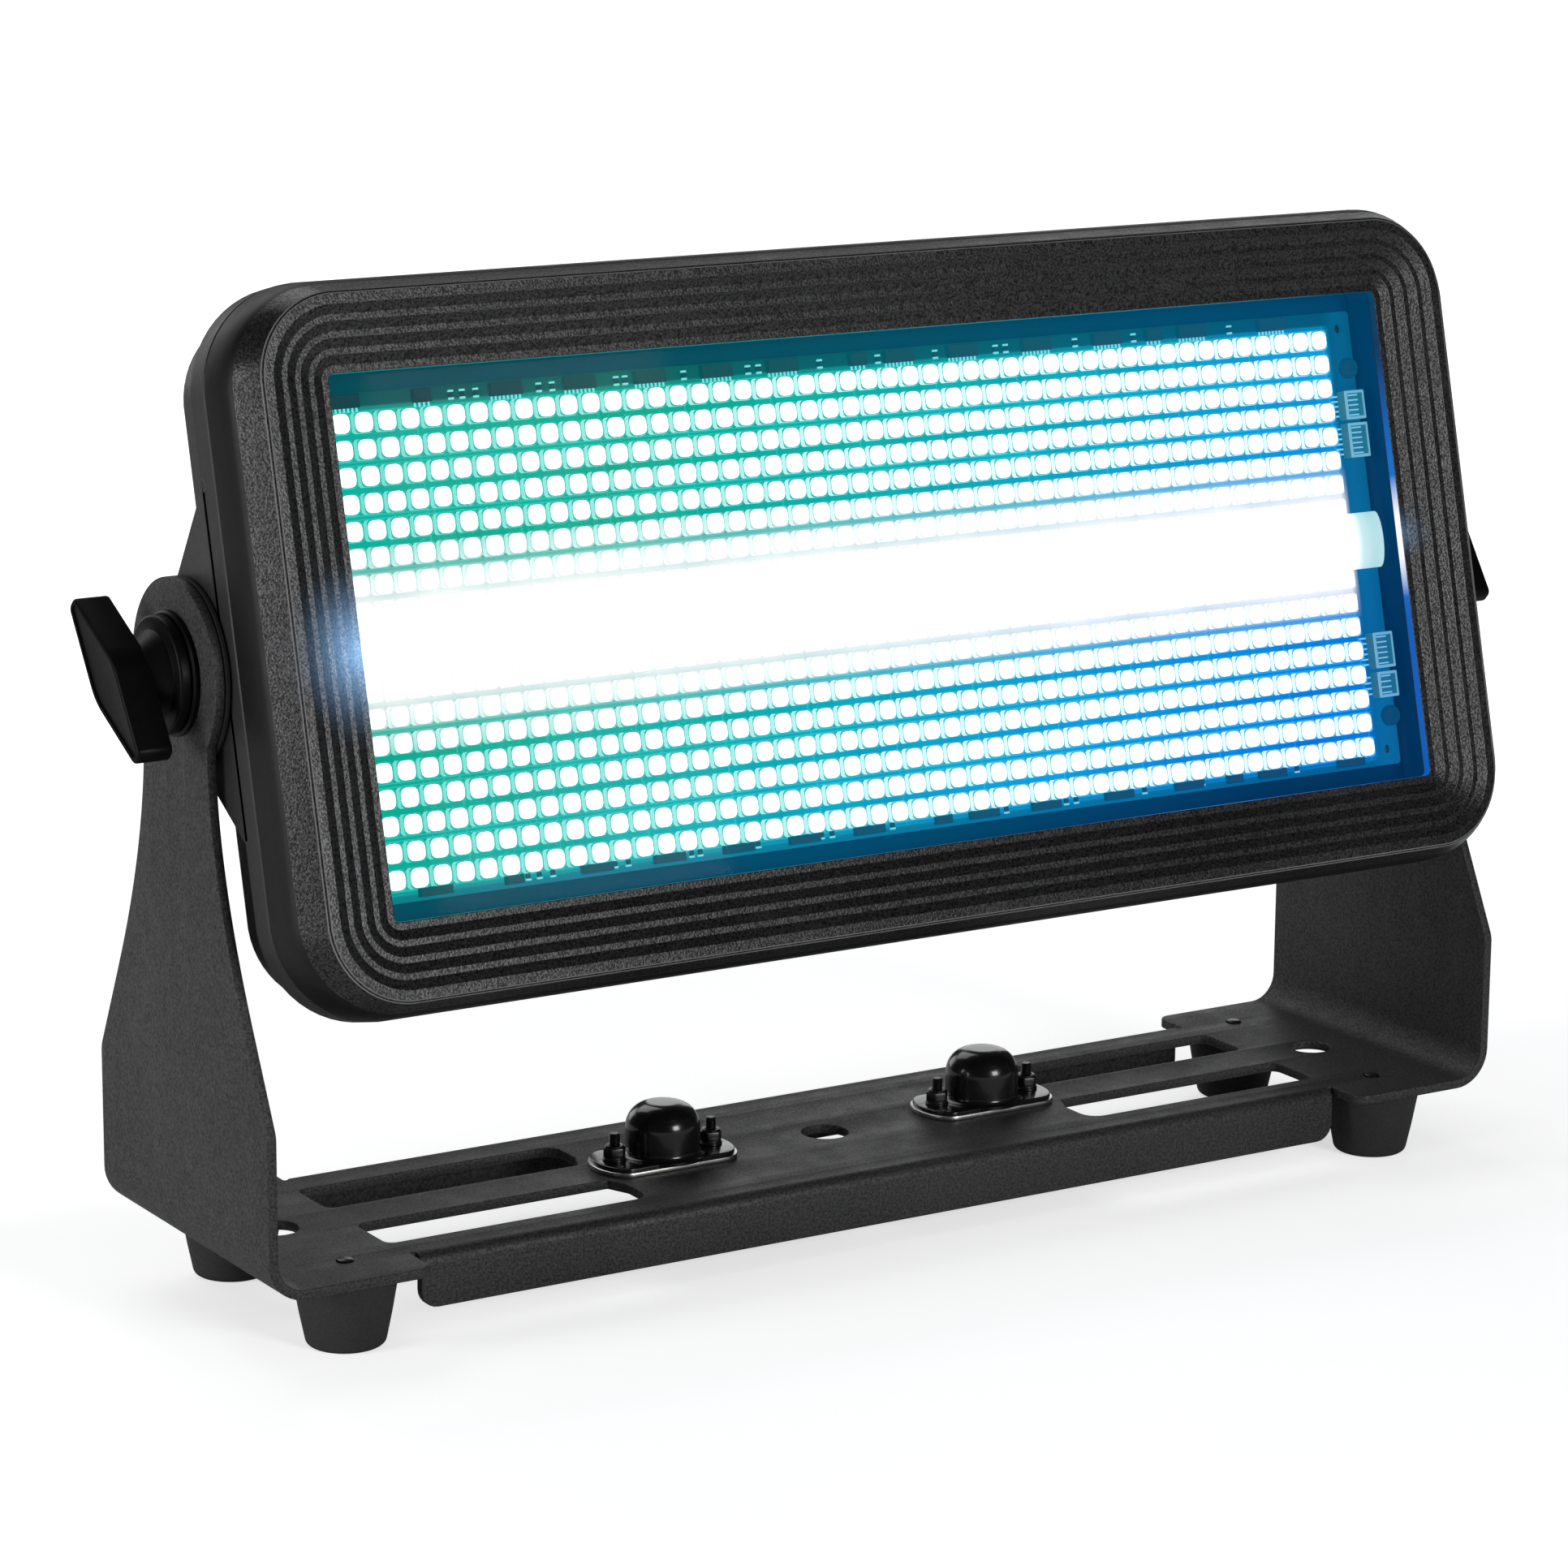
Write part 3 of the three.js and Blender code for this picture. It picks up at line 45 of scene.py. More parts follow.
# places shared by all pieces: lengths in millimetres, turned to metres by these two matrices
yokeLow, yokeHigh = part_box("yoke_bracket")
yokeMiddleY = (yokeLow.y + yokeHigh.y) / 2
place = {
    "tilt": radians(13.95),
    "pivotHeight": 161.3,
    "pivotBehindLeds": 29.7,
    "baseTop": 20.6,
    "armOuter": 183.0,
    "headSide": 178.6,
    "headHalfHeight": 86.9,
}
toMetres = Matrix.Scale(0.001, 4)
yokePlace = Matrix.Translation((0, yokeMiddleY, 0)) @ toMetres
faceTurn = pi / 2 - place["tilt"]
faceOrigin = Vector((
    0,
    yokeMiddleY - 0.001 * place["pivotBehindLeds"] * cos(place["tilt"]),
    0.001 * (place["pivotHeight"] + place["pivotBehindLeds"] * sin(place["tilt"])),
))
facePlace = Matrix.Translation(faceOrigin) @ Matrix.Rotation(faceTurn, 4, "X") @ toMetres
sides = (("left", -1), ("right", 1))
ends = (("front", -1), ("rear", 1))
finishes = {}


# ---- helpers for the finishes

def addNode(tree, kind, inputs, **settings):
    # a shader node with its settings; an input is a plain value or another node's output
    node = tree.nodes.new("ShaderNode" + kind)
    for setting, value in settings.items():
        setattr(node, setting, value)
    feed(tree, node, inputs)
    return node


def feed(tree, node, inputs):
    for socket, value in inputs.items():
        if isinstance(value, bpy.types.NodeSocket):
            tree.links.new(value, node.inputs[socket])
        else:
            node.inputs[socket].default_value = value


def calc(tree, operation, *values):
    return addNode(tree, "Math", dict(enumerate(values)), operation=operation).outputs[0]


def distanceFrom(tree, value, middle):
    return calc(tree, "ABSOLUTE", calc(tree, "SUBTRACT", value, middle))


def mapped(tree, value, low, high, fromLow=0.0, fromHigh=1.0, shape="LINEAR"):
    return addNode(tree, "MapRange", {"Value": value, "From Min": fromLow, "From Max": fromHigh, "To Min": low,
                                      "To Max": high}, interpolation_type=shape).outputs["Result"]


def mixed(tree, share, first, second, blend="MIX"):
    return addNode(tree, "Mix", {"Factor": share, 6: first, 7: second}, data_type="RGBA", blend_type=blend).outputs[2]


def mixedShader(tree, share, first, second):
    return addNode(tree, "MixShader", {0: share, 1: first, 2: second}).outputs[0]


def ramp(tree, value, stops):
    band = addNode(tree, "ValToRGB", {"Fac": value})
    while len(band.color_ramp.elements) < len(stops):
        band.color_ramp.elements.new(0.5)
    for element, (position, colour) in zip(band.color_ramp.elements, stops):
        element.position = position
        element.color = (*colour, 1)
    return band.outputs["Color"]


def noiseAt(tree, point, scale, detail=2.0, rough=0.5):
    return addNode(tree, "TexNoise", {"Vector": point, "Scale": scale, "Detail": detail,
                                      "Roughness": rough}).outputs["Fac"]


def bumps(tree, height, strength, distance):
    return addNode(tree, "Bump", {"Height": height, "Strength": strength, "Distance": distance}).outputs["Normal"]


def objectPoint(tree):
    return addNode(tree, "TexCoord", {}).outputs["Object"]


def facePoint(tree):
    # the same point in millimetres on the lamp's face, X right, Y up, Z out, and its X and Y by themselves
    turn = addNode(tree, "Mapping", {"Location": faceOrigin, "Rotation": (faceTurn, 0, 0),
                                     "Scale": (0.001, 0.001, 0.001), "Vector": objectPoint(tree)},
                   vector_type="TEXTURE").outputs[0]
    split = addNode(tree, "SeparateXYZ", {0: turn})
    return turn, split.outputs["X"], split.outputs["Y"]


def newFinish(name):
    finishes[name] = bpy.data.materials.new(name)
    finishes[name].use_nodes = True
    tree = finishes[name].node_tree
    return tree, tree.nodes["Principled BSDF"]


# ---- camera, lights and floor

def makeCamera():
    view = {
        "lens": 116.94,
        "sensor": 36,
        "farthest": 50,
        "azimuth": -31.994,
        "elevation": 13.018,
        "roll": 0.435,
        "position": (-0.68226, -1.07068, 0.40675),
    }
    turn, lift, roll = (radians(view[angle]) for angle in ("azimuth", "elevation", "roll"))
    back = Vector((sin(turn) * cos(lift), -cos(turn) * cos(lift), sin(lift)))
    right = Vector((cos(turn), sin(turn), 0))
    up = back.cross(right)
    axes = (right * cos(roll) + up * sin(roll), up * cos(roll) - right * sin(roll), back)
    camera = bpy.data.objects.new("studioCamera", bpy.data.cameras.new("studioCamera"))
    camera.data.lens = view["lens"]
    camera.data.sensor_width = view["sensor"]
    camera.data.clip_end = view["farthest"]
    where = Vector(view["position"]) + Vector((0, yokeMiddleY, 0))
    camera.matrix_world = Matrix.Translation(where) @ Matrix(axes).transposed().to_4x4()
    scene.collection.objects.link(camera)
    scene.camera = camera


def makeLights():
    lamps = {
        # name: (place, aimed at, size, watts, colour)
        "frontBox": ((0.37, -1.89, 0.62), (0, 0, 0.14), 0.6, 15, (1, 1, 1)),
        "leftBox": ((-1.6, 0, 0.34), (0, 0, 0.12), 0.7, 12, (1, 0.99, 0.98)),
        "rearBox": ((0, 1.2, 1.2), (0, 0, 0.1), 0.9, 4.4, (1, 1, 1)),
        "rearRightBox": ((1.1, 1.5, 0.5), (0, 0, 0.12), 0.8, 2.6, (0.98, 0.99, 1)),
        "backBox": ((-0.35, 1.9, 0.5), (0, 0, 0.14), 0.8, 3.5, (1, 1, 1)),
    }
    for name, (where, target, size, watts, colour) in lamps.items():
        data = bpy.data.lights.new(name, "AREA")
        data.shape = "SQUARE"
        data.size = size
        data.energy = watts
        data.color = colour
        lamp = bpy.data.objects.new(name, data)
        lamp.location = where
        lamp.rotation_euler = (Vector(where) - Vector(target)).to_track_quat("Z", "Y").to_euler()
        scene.collection.objects.link(lamp)


def seenStraight(tree):
    # 1 where the camera looks, also through the glass, and 0 for the light that falls on the object
    path = addNode(tree, "LightPath", {})
    return calc(tree, "MAXIMUM", path.outputs["Is Camera Ray"], path.outputs["Is Transmission Ray"]), path


def makeWorld():
    sky = {
        # what it is for: (colour, strength)
        "fallen": ((0.9, 0.93, 1.0, 1), 0.16),
        "mirrored": ((1, 1, 1, 1), 0.03),
        "seen": ((1, 1, 1, 1), 1),
    }
    world = bpy.data.worlds.new("studioWhite")
    scene.world = world
    world.use_nodes = True
    tree = world.node_tree
    tree.nodes.clear()
    fallen, mirrored, seen = (addNode(tree, "Background", {"Color": colour, "Strength": strength}).outputs[0]
                              for colour, strength in sky.values())
    straight, path = seenStraight(tree)
    around = mixedShader(tree, path.outputs["Is Glossy Ray"], fallen, mirrored)
    addNode(tree, "OutputWorld", {"Surface": mixedShader(tree, straight, around, seen)})


def makeFloor():
    # white paper; close to the lamp it gives less light of its own, so that the shadows show
    look = {"halfSize": 6, "colour": (0.88, 0.88, 0.88, 1), "nearLight": 0.62, "farLight": 1.0, "near": 0.22,
            "far": 0.75}
    bm = bmesh.new()
    bmesh.ops.create_grid(bm, x_segments=1, y_segments=1, size=look["halfSize"])
    mesh = bpy.data.meshes.new("studioFloor")
    bm.to_mesh(mesh)
    bm.free()
    floor = bpy.data.objects.new("studioFloor", mesh)
    scene.collection.objects.link(floor)
    paper = bpy.data.materials.new("studioPaper")
    paper.use_nodes = True
    tree = paper.node_tree
    tree.nodes.clear()
    matt = addNode(tree, "BsdfDiffuse", {"Color": look["colour"]}).outputs[0]
    away = addNode(tree, "VectorMath", {0: objectPoint(tree)}, operation="LENGTH").outputs["Value"]
    spread = mapped(tree, away, look["nearLight"], look["farLight"], look["near"], look["far"], "SMOOTHSTEP")
    glow = addNode(tree, "Emission", {"Strength": spread}).outputs[0]
    both = addNode(tree, "AddShader", {0: matt, 1: glow}).outputs[0]
    addNode(tree, "OutputMaterial", {"Surface": mixedShader(tree, seenStraight(tree)[0], matt, both)})
    mesh.materials.append(paper)


makeCamera()
makeLights()
makeWorld()
makeFloor()
scene.view_settings.view_transform = "Standard"
print("camera, lights and floor are set")


# ---- finishes of paint, plastic, rubber and metal

grainedLooks = {
    "powderCoat": {"colour": (0.0265, 0.0265, 0.027), "grain": 1500, "grainTone": 0.7, "darker": 0.4, "lighter": 1.9,
                   "rough": (0.44, 0.66), "relief": 0.6, "depth": 0.00012, "speckle": (0.25, 0.58)},
    "bezelPlastic": {"colour": (0.009, 0.009, 0.0092), "grain": 1700, "grainDetail": 1.5, "grainTone": 0.85,
                     "darker": 0.2, "lighter": 2.6, "rough": (0.25, 0.42), "relief": 0.6, "depth": 0.00012,
                     "speckle": (0.2, 0.6), "spill": True},
    "bezelSide": {"colour": (0.0045, 0.0045, 0.0046), "grain": 1500, "darker": 0.7, "rough": (0.4, 0.55),
                  "relief": 0.25, "depth": 0.00008, "specular": 0.24},
    # painted highlight: light grey on the black bezel's bead and seam strips, standing in for the light they catch
    "bezelEdgePaintedHighlight": {"colour": (0.17, 0.17, 0.172), "grain": 1050, "lighter": 1.2, "rough": (0.2, 0.32),
                  "depth": 0.00008, "specular": 0.6},
    "shellPlastic": {"colour": (0.021, 0.021, 0.0215), "grain": 1700, "darker": 0.7, "rough": (0.4, 0.56),
                     "relief": 0.35, "depth": 0.00008, "specular": 0.4},
    "knobPlastic": {"colour": (0.003, 0.003, 0.0031), "grain": 1900, "darker": 0.7, "lighter": 1.4,
                    "rough": (0.3, 0.48), "specular": 0.1},
    "padRubber": {"colour": (0.03, 0.03, 0.03), "grain": 1300, "darker": 0.7, "rough": (0.62, 0.82), "relief": 0.5,
                  "depth": 0.0001, "specular": 0.3},
    "domeEnamel": {"colour": (0.006, 0.006, 0.006), "grain": 500, "grainTone": 0.3, "rough": (0.16, 0.3),
                   "relief": 0.14, "depth": 0.00008, "specular": 0.4, "coat": 0.35, "coatRough": 0.07},
    "zincPlate": {"colour": (0.62, 0.62, 0.6), "grain": 900, "lighter": 1.15, "rough": (0.22, 0.42), "relief": 0.2,
                  "depth": 0.00005, "metal": 1.0},
    "blackSteel": {"colour": (0.05, 0.05, 0.052), "grain": 1200, "darker": 0.7, "lighter": 1.4,
                   "rough": (0.25, 0.45), "relief": 0.2, "depth": 0.00005, "metal": 0.9},
    "brightSteel": {"colour": (0.5, 0.5, 0.51), "grain": 1100, "lighter": 1.2, "rough": (0.25, 0.4), "relief": 0.15,
                    "depth": 0.00004, "metal": 1.0},
    "sinkAluminium": {"colour": (0.42, 0.43, 0.44), "grain": 700, "lighter": 1.2, "rough": (0.35, 0.55),
                      "relief": 0.2, "metal": 1.0},
    "insertBrass": {"colour": (0.6, 0.43, 0.16), "grain": 900, "grainTone": 0.4, "lighter": 1.2,
                    "rough": (0.25, 0.4), "relief": 0.1, "depth": 0.00004, "metal": 1.0},
    "contactGold": {"colour": (0.75, 0.52, 0.2), "grain": 900, "grainTone": 0.4, "darker": 0.9, "lighter": 1.1,
                    "rough": (0.18, 0.3), "relief": 0.1, "depth": 0.00003, "metal": 1.0},
    "inletBlue": {"colour": (0.02, 0.09, 0.42), "grain": 1400, "darker": 0.85, "lighter": 1.15,
                  "rough": (0.38, 0.52)},
    "outletGrey": {"colour": (0.42, 0.44, 0.46), "grain": 1400, "darker": 0.88, "lighter": 1.1,
                   "rough": (0.4, 0.55)},
    "circuitGreen": {"colour": (0.01, 0.09, 0.04), "grain": 800, "grainTone": 0.4, "darker": 0.75,
                     "rough": (0.35, 0.5), "relief": 0.15, "depth": 0.00005},
    "socketBlack": {"colour": (0.012, 0.012, 0.012), "grain": 1600, "grainTone": 0.4, "rough": (0.35, 0.5),
                    "relief": 0.25, "depth": 0.00005},
    "buttonRubber": {"colour": (0.03, 0.03, 0.032), "grain": 1500, "lighter": 1.2, "rough": (0.5, 0.65)},
}
commonLook = {
    "grainDetail": 3.0, "grainRough": 0.6, "grainTone": 0.5, "darker": 0.8, "lighter": 1.3, "relief": 0.3,
    "depth": 0.00006, "metal": 0.0, "specular": 0.5,
    # scale, detail and roughness of the broad drift and of the scuffs
    "drift": (14, 3.0, 0.55), "scuff": (120, 4.0, 0.7), "scuffShare": 0.6,
    # the part of the noise that runs from the low to the high value
    "toneSpan": (0.32, 0.68), "roughSpan": (0.3, 0.7), "speckleSpan": (0.38, 0.62),
}


def weighted(tree, first, share, second):
    return calc(tree, "MULTIPLY_ADD", second, 1 - share, calc(tree, "MULTIPLY", first, share))


def grainedFinish(name, look):
    # a paint or moulded skin: fine grain in relief, a broad drift of tone, and scuffs that shine a little
    tree, shader = newFinish(name)
    point = objectPoint(tree)
    grain = noiseAt(tree, point, look["grain"], look["grainDetail"], look["grainRough"])
    drift = noiseAt(tree, point, *look["drift"])
    scuff = noiseAt(tree, point, *look["scuff"])
    dark, light = ([part * look[shade] for part in look["colour"]] for shade in ("darker", "lighter"))
    tone = weighted(tree, grain, look["grainTone"], drift)
    rough = weighted(tree, scuff, look["scuffShare"], drift)
    feed(tree, shader, {
        "Base Color": ramp(tree, tone, list(zip(look["toneSpan"], (dark, light)))),
        "Roughness": mapped(tree, rough, *look["rough"], *look["roughSpan"]),
        "Normal": bumps(tree, grain, look["relief"], look["depth"]),
        "Metallic": look["metal"],
        "Specular IOR Level": look["specular"],
    })
    if "speckle" in look:
        # pits of the grain shine less than its tops
        feed(tree, shader, {"Specular IOR Level": mapped(tree, grain, *look["speckle"], *look["speckleSpan"])})
    if "coat" in look:
        feed(tree, shader, {"Coat Weight": look["coat"], "Coat Roughness": look["coatRough"]})
    # painted light from the bar on the bezel's rim
    if "spill" in look:
        spillFromBar(tree, shader, grain)


def spillFromBar(tree, shader, grain):
    # painted light: the blue-white light that the bar throws on the rim at its two ends, given to the rim as a glow
    spill = {"colour": (0.32, 0.6, 1.0, 1), "fade": 2.4, "rough": (0.8, 1.2, 0.35, 0.65),
             # place across and up the face, reach and strength
             "ends": ((-153.0, -1.0, 24.0, 1.0), (153.0, 0.0, 10.0, 0.22))}
    _, x, v = facePoint(tree)
    lit = []
    for middleX, middleV, reach, share in spill["ends"]:
        aside = calc(tree, "SUBTRACT", x, middleX)
        above = calc(tree, "SUBTRACT", v, middleV)
        away = calc(tree, "ADD", calc(tree, "MULTIPLY", aside, aside), calc(tree, "MULTIPLY", above, above))
        near = mapped(tree, calc(tree, "SQRT", away), 1, 0, 0, reach)
        lit.append(calc(tree, "MULTIPLY", calc(tree, "POWER", near, spill["fade"]), share))
    rough = mapped(tree, grain, *spill["rough"])
    feed(tree, shader, {"Emission Color": spill["colour"],
                        "Emission Strength": calc(tree, "MULTIPLY", calc(tree, "ADD", *lit), rough)})


for name, look in grainedLooks.items():
    grainedFinish(name, commonLook | look)


# ---- finishes of the lit board and of what its light falls on

def glowColour(tree, x, v, stops, slope=1.0):
    # colours along a slant: green at the upper left, cyan, then blue at the lower right
    reach = 155 + 20 * slope
    return ramp(tree, mapped(tree, calc(tree, "MULTIPLY_ADD", v, -slope, x), 0, 1, -reach, reach), stops)


def besideBar(tree, v, fade):
    # 1 at the white bar, falling to 0 between these two distances; it spreads the bar's painted white light over the
    # parts round it
    return mapped(tree, distanceFrom(tree, v, -0.6), 1, 0, *fade)


def boardFinish(name):
    # painted light: the board is no lamp, and its glow stands in for the light of the diodes and the bar falling on it,
    # bright in the grid, dim in the margins and white beside the bar
    look = {
        "deep": [(0.0, (0.003, 0.4, 0.31)), (0.19, (0.002, 0.39, 0.27)), (0.39, (0.003, 0.4, 0.38)),
                 (0.57, (0.002, 0.35, 0.5)), (0.76, (0.002, 0.29, 0.66)), (1.0, (0.0, 0.17, 0.68))],
        "lines": [(0.0, (0.03, 0.6, 0.5)), (0.5, (0.03, 0.58, 0.66)), (1.0, (0.01, 0.4, 0.9))],
        "margin": [(0.0, (0.0015, 0.067, 0.085)), (0.134, (0.003, 0.112, 0.105)), (0.3, (0.002, 0.095, 0.13)),
                   (0.5, (0.002, 0.1, 0.16)), (0.7, (0.001, 0.085, 0.17)), (0.87, (0.001, 0.075, 0.17)),
                   (1.0, (0.001, 0.055, 0.14))],
        "mottle": [(0.3, (0.82, 0.86, 0.88)), (0.7, (1.08, 1.05, 1.05))],
        # the margins' brightness: along the top, along the bottom, and added at the right
        "marginTop": 0.9,
        "marginBottom": 1.9,
        "marginRight": 0.4,
        # where the diodes' light ends, beside and above the grid's middle
        "gridHalfWidth": (146.4, 149.0),
        "gridHalfHeight": (56.3, 58.0),
        "gridMiddle": (-2.5, -0.88),
        "bankShift": 31.56,
        "columnPitch": 6.12,
        "rowPitch": 6.35,
        # thin tracks: their light, the uprights' shift and half width, the pairs' place and half width
        "trackLight": 0.75,
        "upright": (0.02, 0.006),
        "pair": (0.035, 0.011),
        "barFade": (11, 20),
        "white": (1, 1, 1, 1),
        "unlit": (0.0, 0.012, 0.012, 1),
        "unlitShare": 0.85,
    }
    tree, shader = newFinish(name)
    point, x, v = facePoint(tree)
    deep, lines, margin = (glowColour(tree, x, v, look[part]) for part in ("deep", "lines", "margin"))
    aside = distanceFrom(tree, x, look["gridMiddle"][0])
    above = distanceFrom(tree, v, look["gridMiddle"][1])
    near = besideBar(tree, v, look["barFade"])
    # one upright track every four columns, a pair along every second gap between the rows
    shift, halfWidth = look["upright"]
    column = calc(tree, "DIVIDE", calc(tree, "SUBTRACT", x, look["gridMiddle"][0]), 4 * look["columnPitch"])
    column = calc(tree, "PINGPONG", calc(tree, "ADD", column, shift), 0.5)
    gap = calc(tree, "DIVIDE", calc(tree, "SUBTRACT", above, look["bankShift"]), 2 * look["rowPitch"])
    pair = calc(tree, "COMPARE", calc(tree, "PINGPONG", gap, 0.5), *look["pair"])
    track = calc(tree, "MAXIMUM", calc(tree, "LESS_THAN", column, halfWidth), pair)
    lit = mixed(tree, calc(tree, "MULTIPLY", track, look["trackLight"]), deep, lines)
    lit = mixed(tree, near, lit, look["white"])
    lit = mixed(tree, 1, lit, ramp(tree, noiseAt(tree, point, 0.05), look["mottle"]), "MULTIPLY")
    # the margins round the diodes get much less of this painted light
    lift = calc(tree, "ADD", mapped(tree, v, look["marginBottom"], look["marginTop"], -40, 40),
                mapped(tree, x, 0, look["marginRight"], 144, 148))
    margin = addNode(tree, "VectorMath", {0: margin, "Scale": lift}, operation="SCALE").outputs[0]
    acrossGrid = mapped(tree, aside, 1, 0, *look["gridHalfWidth"])
    inGrid = calc(tree, "MULTIPLY", mapped(tree, above, 1, 0, *look["gridHalfHeight"]), acrossGrid)
    inGrid = calc(tree, "MAXIMUM", inGrid, calc(tree, "MULTIPLY", near, acrossGrid))
    feed(tree, shader, {
        "Emission Color": mixed(tree, inGrid, margin, lit),
        "Emission Strength": 1,
        "Base Color": mixed(tree, look["unlitShare"], deep, look["unlit"]),
        "Roughness": 0.5,
        "Specular IOR Level": 0.02,
    })


litLooks = {
    # colours along the slant, brightness, unlit colour, roughness, and the fade to white beside the bar
    "ledLens": {"stops": [(0.0, (0.7, 1.0, 0.94)), (0.5, (0.75, 0.98, 1.0)), (1.0, (0.75, 0.92, 1.0))],
                "strength": 1.5, "unlit": (0.6, 0.6, 0.6), "rough": 0.3},
    "ledBody": {"stops": [(0.0, (0.01, 0.5, 0.42)), (0.2, (0.01, 0.5, 0.38)), (0.5, (0.04, 0.52, 0.55)),
                          (0.75, (0.08, 0.5, 0.7)), (1.0, (0.1, 0.46, 0.85))],
                "strength": 1.0, "unlit": (0.01, 0.03, 0.03), "rough": 0.5, "fade": (12, 26)},
    # painted light: the packages' sides glow white with the light of the neighbouring lenses
    "ledSide": {"stops": [(0.0, (0.15, 0.68, 0.58)), (0.3, (0.34, 0.8, 0.74)), (0.5, (0.66, 0.94, 0.94)),
                          (0.75, (0.85, 0.98, 1.0)), (1.0, (0.75, 0.93, 1.0))],
                "strength": 1.0, "unlit": (0.1, 0.15, 0.15), "rough": 0.4, "fade": (12, 26), "slope": 0.0},
    "solderPad": {"stops": [(0.0, (0.05, 0.55, 0.45)), (0.5, (0.08, 0.55, 0.6)), (1.0, (0.1, 0.45, 0.85))],
                  "strength": 0.9, "unlit": (0.05, 0.1, 0.1), "rough": 0.35, "fade": (12, 24)},
    "chipBody": {"stops": [(0.0, (0.001, 0.05, 0.065)), (0.134, (0.002, 0.085, 0.085)), (0.45, (0.002, 0.1, 0.15)),
                           (0.75, (0.001, 0.09, 0.19)), (1.0, (0.001, 0.07, 0.19))],
                 "strength": 1.0, "unlit": (0.002, 0.004, 0.004), "rough": 0.5},
    "chipPin": {"stops": [(0.0, (0.1, 0.6, 0.55)), (0.5, (0.1, 0.55, 0.6)), (1.0, (0.1, 0.4, 0.7))],
                "strength": 1.3, "unlit": (0.1, 0.1, 0.1), "rough": 0.3},
    "connectorNylon": {"stops": [(0.0, (0.02, 0.2, 0.22)), (0.75, (0.015, 0.2, 0.3)), (1.0, (0.01, 0.15, 0.3))],
                       "strength": 0.9, "unlit": (0.03, 0.03, 0.03), "rough": 0.45},
    "connectorRim": {"stops": [(0.0, (0.25, 0.7, 0.7)), (0.75, (0.14, 0.48, 0.62)), (1.0, (0.12, 0.42, 0.68))],
                     "strength": 0.9, "unlit": (0.1, 0.1, 0.1), "rough": 0.45},
    "barDiffuser": {"stops": [(0.0, (1, 1, 1)), (0.955, (1, 1, 1)), (0.968, (0.3, 0.47, 0.5)),
                              (0.982, (0.2, 0.38, 0.42)), (1.0, (0.3, 0.5, 0.54))],
                    "strength": 1.5, "unlit": (0.3, 0.32, 0.32), "rough": 0.2, "slope": 0.0},
    "litLip": {"stops": [(0.0, (0.0, 0.2, 0.2)), (0.5, (0.0, 0.16, 0.25)), (0.8, (0.0, 0.03, 0.1)),
                         (0.88, (0.0, 0.14, 0.55)), (0.94, (0.0, 0.2, 0.75)), (1.0, (0.0, 0.1, 0.45))],
               "strength": 1.0, "unlit": (0.01, 0.01, 0.01), "rough": 0.4, "fade": (5, 16)},
}


litSkin = {"scale": 1.6, "relief": 0.1, "depth": 0.00005, "specular": 0.1}


def litFinish(name, look):
    # a surface whose glow runs across the lamp; the lenses and the bar give their own light, and on the other parts the
    # glow is painted light from them
    tree, shader = newFinish(name)
    point, x, v = facePoint(tree)
    colour = glowColour(tree, x, v, look["stops"], look.get("slope", 1.0))
    if "fade" in look:
        colour = mixed(tree, besideBar(tree, v, look["fade"]), colour, (1, 1, 1, 1))
    feed(tree, shader, {
        "Emission Color": colour,
        "Emission Strength": look["strength"],
        "Normal": bumps(tree, noiseAt(tree, point, litSkin["scale"]), litSkin["relief"], litSkin["depth"]),
        "Base Color": (*look["unlit"], 1),
        "Roughness": look["rough"],
        "Specular IOR Level": litSkin["specular"],
    })


def innerWallFinish(name):
    # the dark housing round the board, with the lit diodes' light on it painted in as a glow
    stops = [(0.0, (0.001, 0.05, 0.068)), (0.3, (0.001, 0.055, 0.085)), (0.6, (0.0, 0.05, 0.11)),
             (0.85, (0.0, 0.035, 0.1)), (1.0, (0.0, 0.025, 0.08))]
    tree, shader = newFinish(name)
    point, x, v = facePoint(tree)
    colour = glowColour(tree, x, v, stops)
    feed(tree, shader, {"Emission Color": colour, "Emission Strength": 1, "Base Color": colour,
                        "Normal": bumps(tree, noiseAt(tree, point, 0.8, 3.0), 0.3, 0.0001), "Roughness": 0.7,
                        "Specular IOR Level": 0.03})


def windowGlassFinish(name):
    tree, shader = newFinish(name)
    smear = noiseAt(tree, objectPoint(tree), 30)
    feed(tree, shader, {"Roughness": mapped(tree, smear, 0.03, 0.075, 0.3, 0.7), "Base Color": (0.0, 0.02, 0.02, 1),
                        "Alpha": 0.03, "IOR": 1.45})
    finishes[name].surface_render_method = "BLENDED"


def displayGlassFinish(name):
    stops = [(0.3, (0.004, 0.012, 0.03)), (0.7, (0.006, 0.02, 0.045))]
    tree, shader = newFinish(name)
    smear = noiseAt(tree, objectPoint(tree), 60)
    feed(tree, shader, {"Base Color": ramp(tree, smear, stops), "Roughness": mapped(tree, smear, 0.05, 0.14, 0.3, 0.7),
                        "IOR": 1.5, "Coat Weight": 0.4, "Coat Roughness": 0.04})


boardFinish("ledBoard")
for name, look in litLooks.items():
    litFinish(name, look)
windowGlassFinish("windowGlass")
displayGlassFinish("displayGlass")
innerWallFinish("innerWall")
print("finishes are mixed:", len(finishes))


# ---- helpers for the pieces

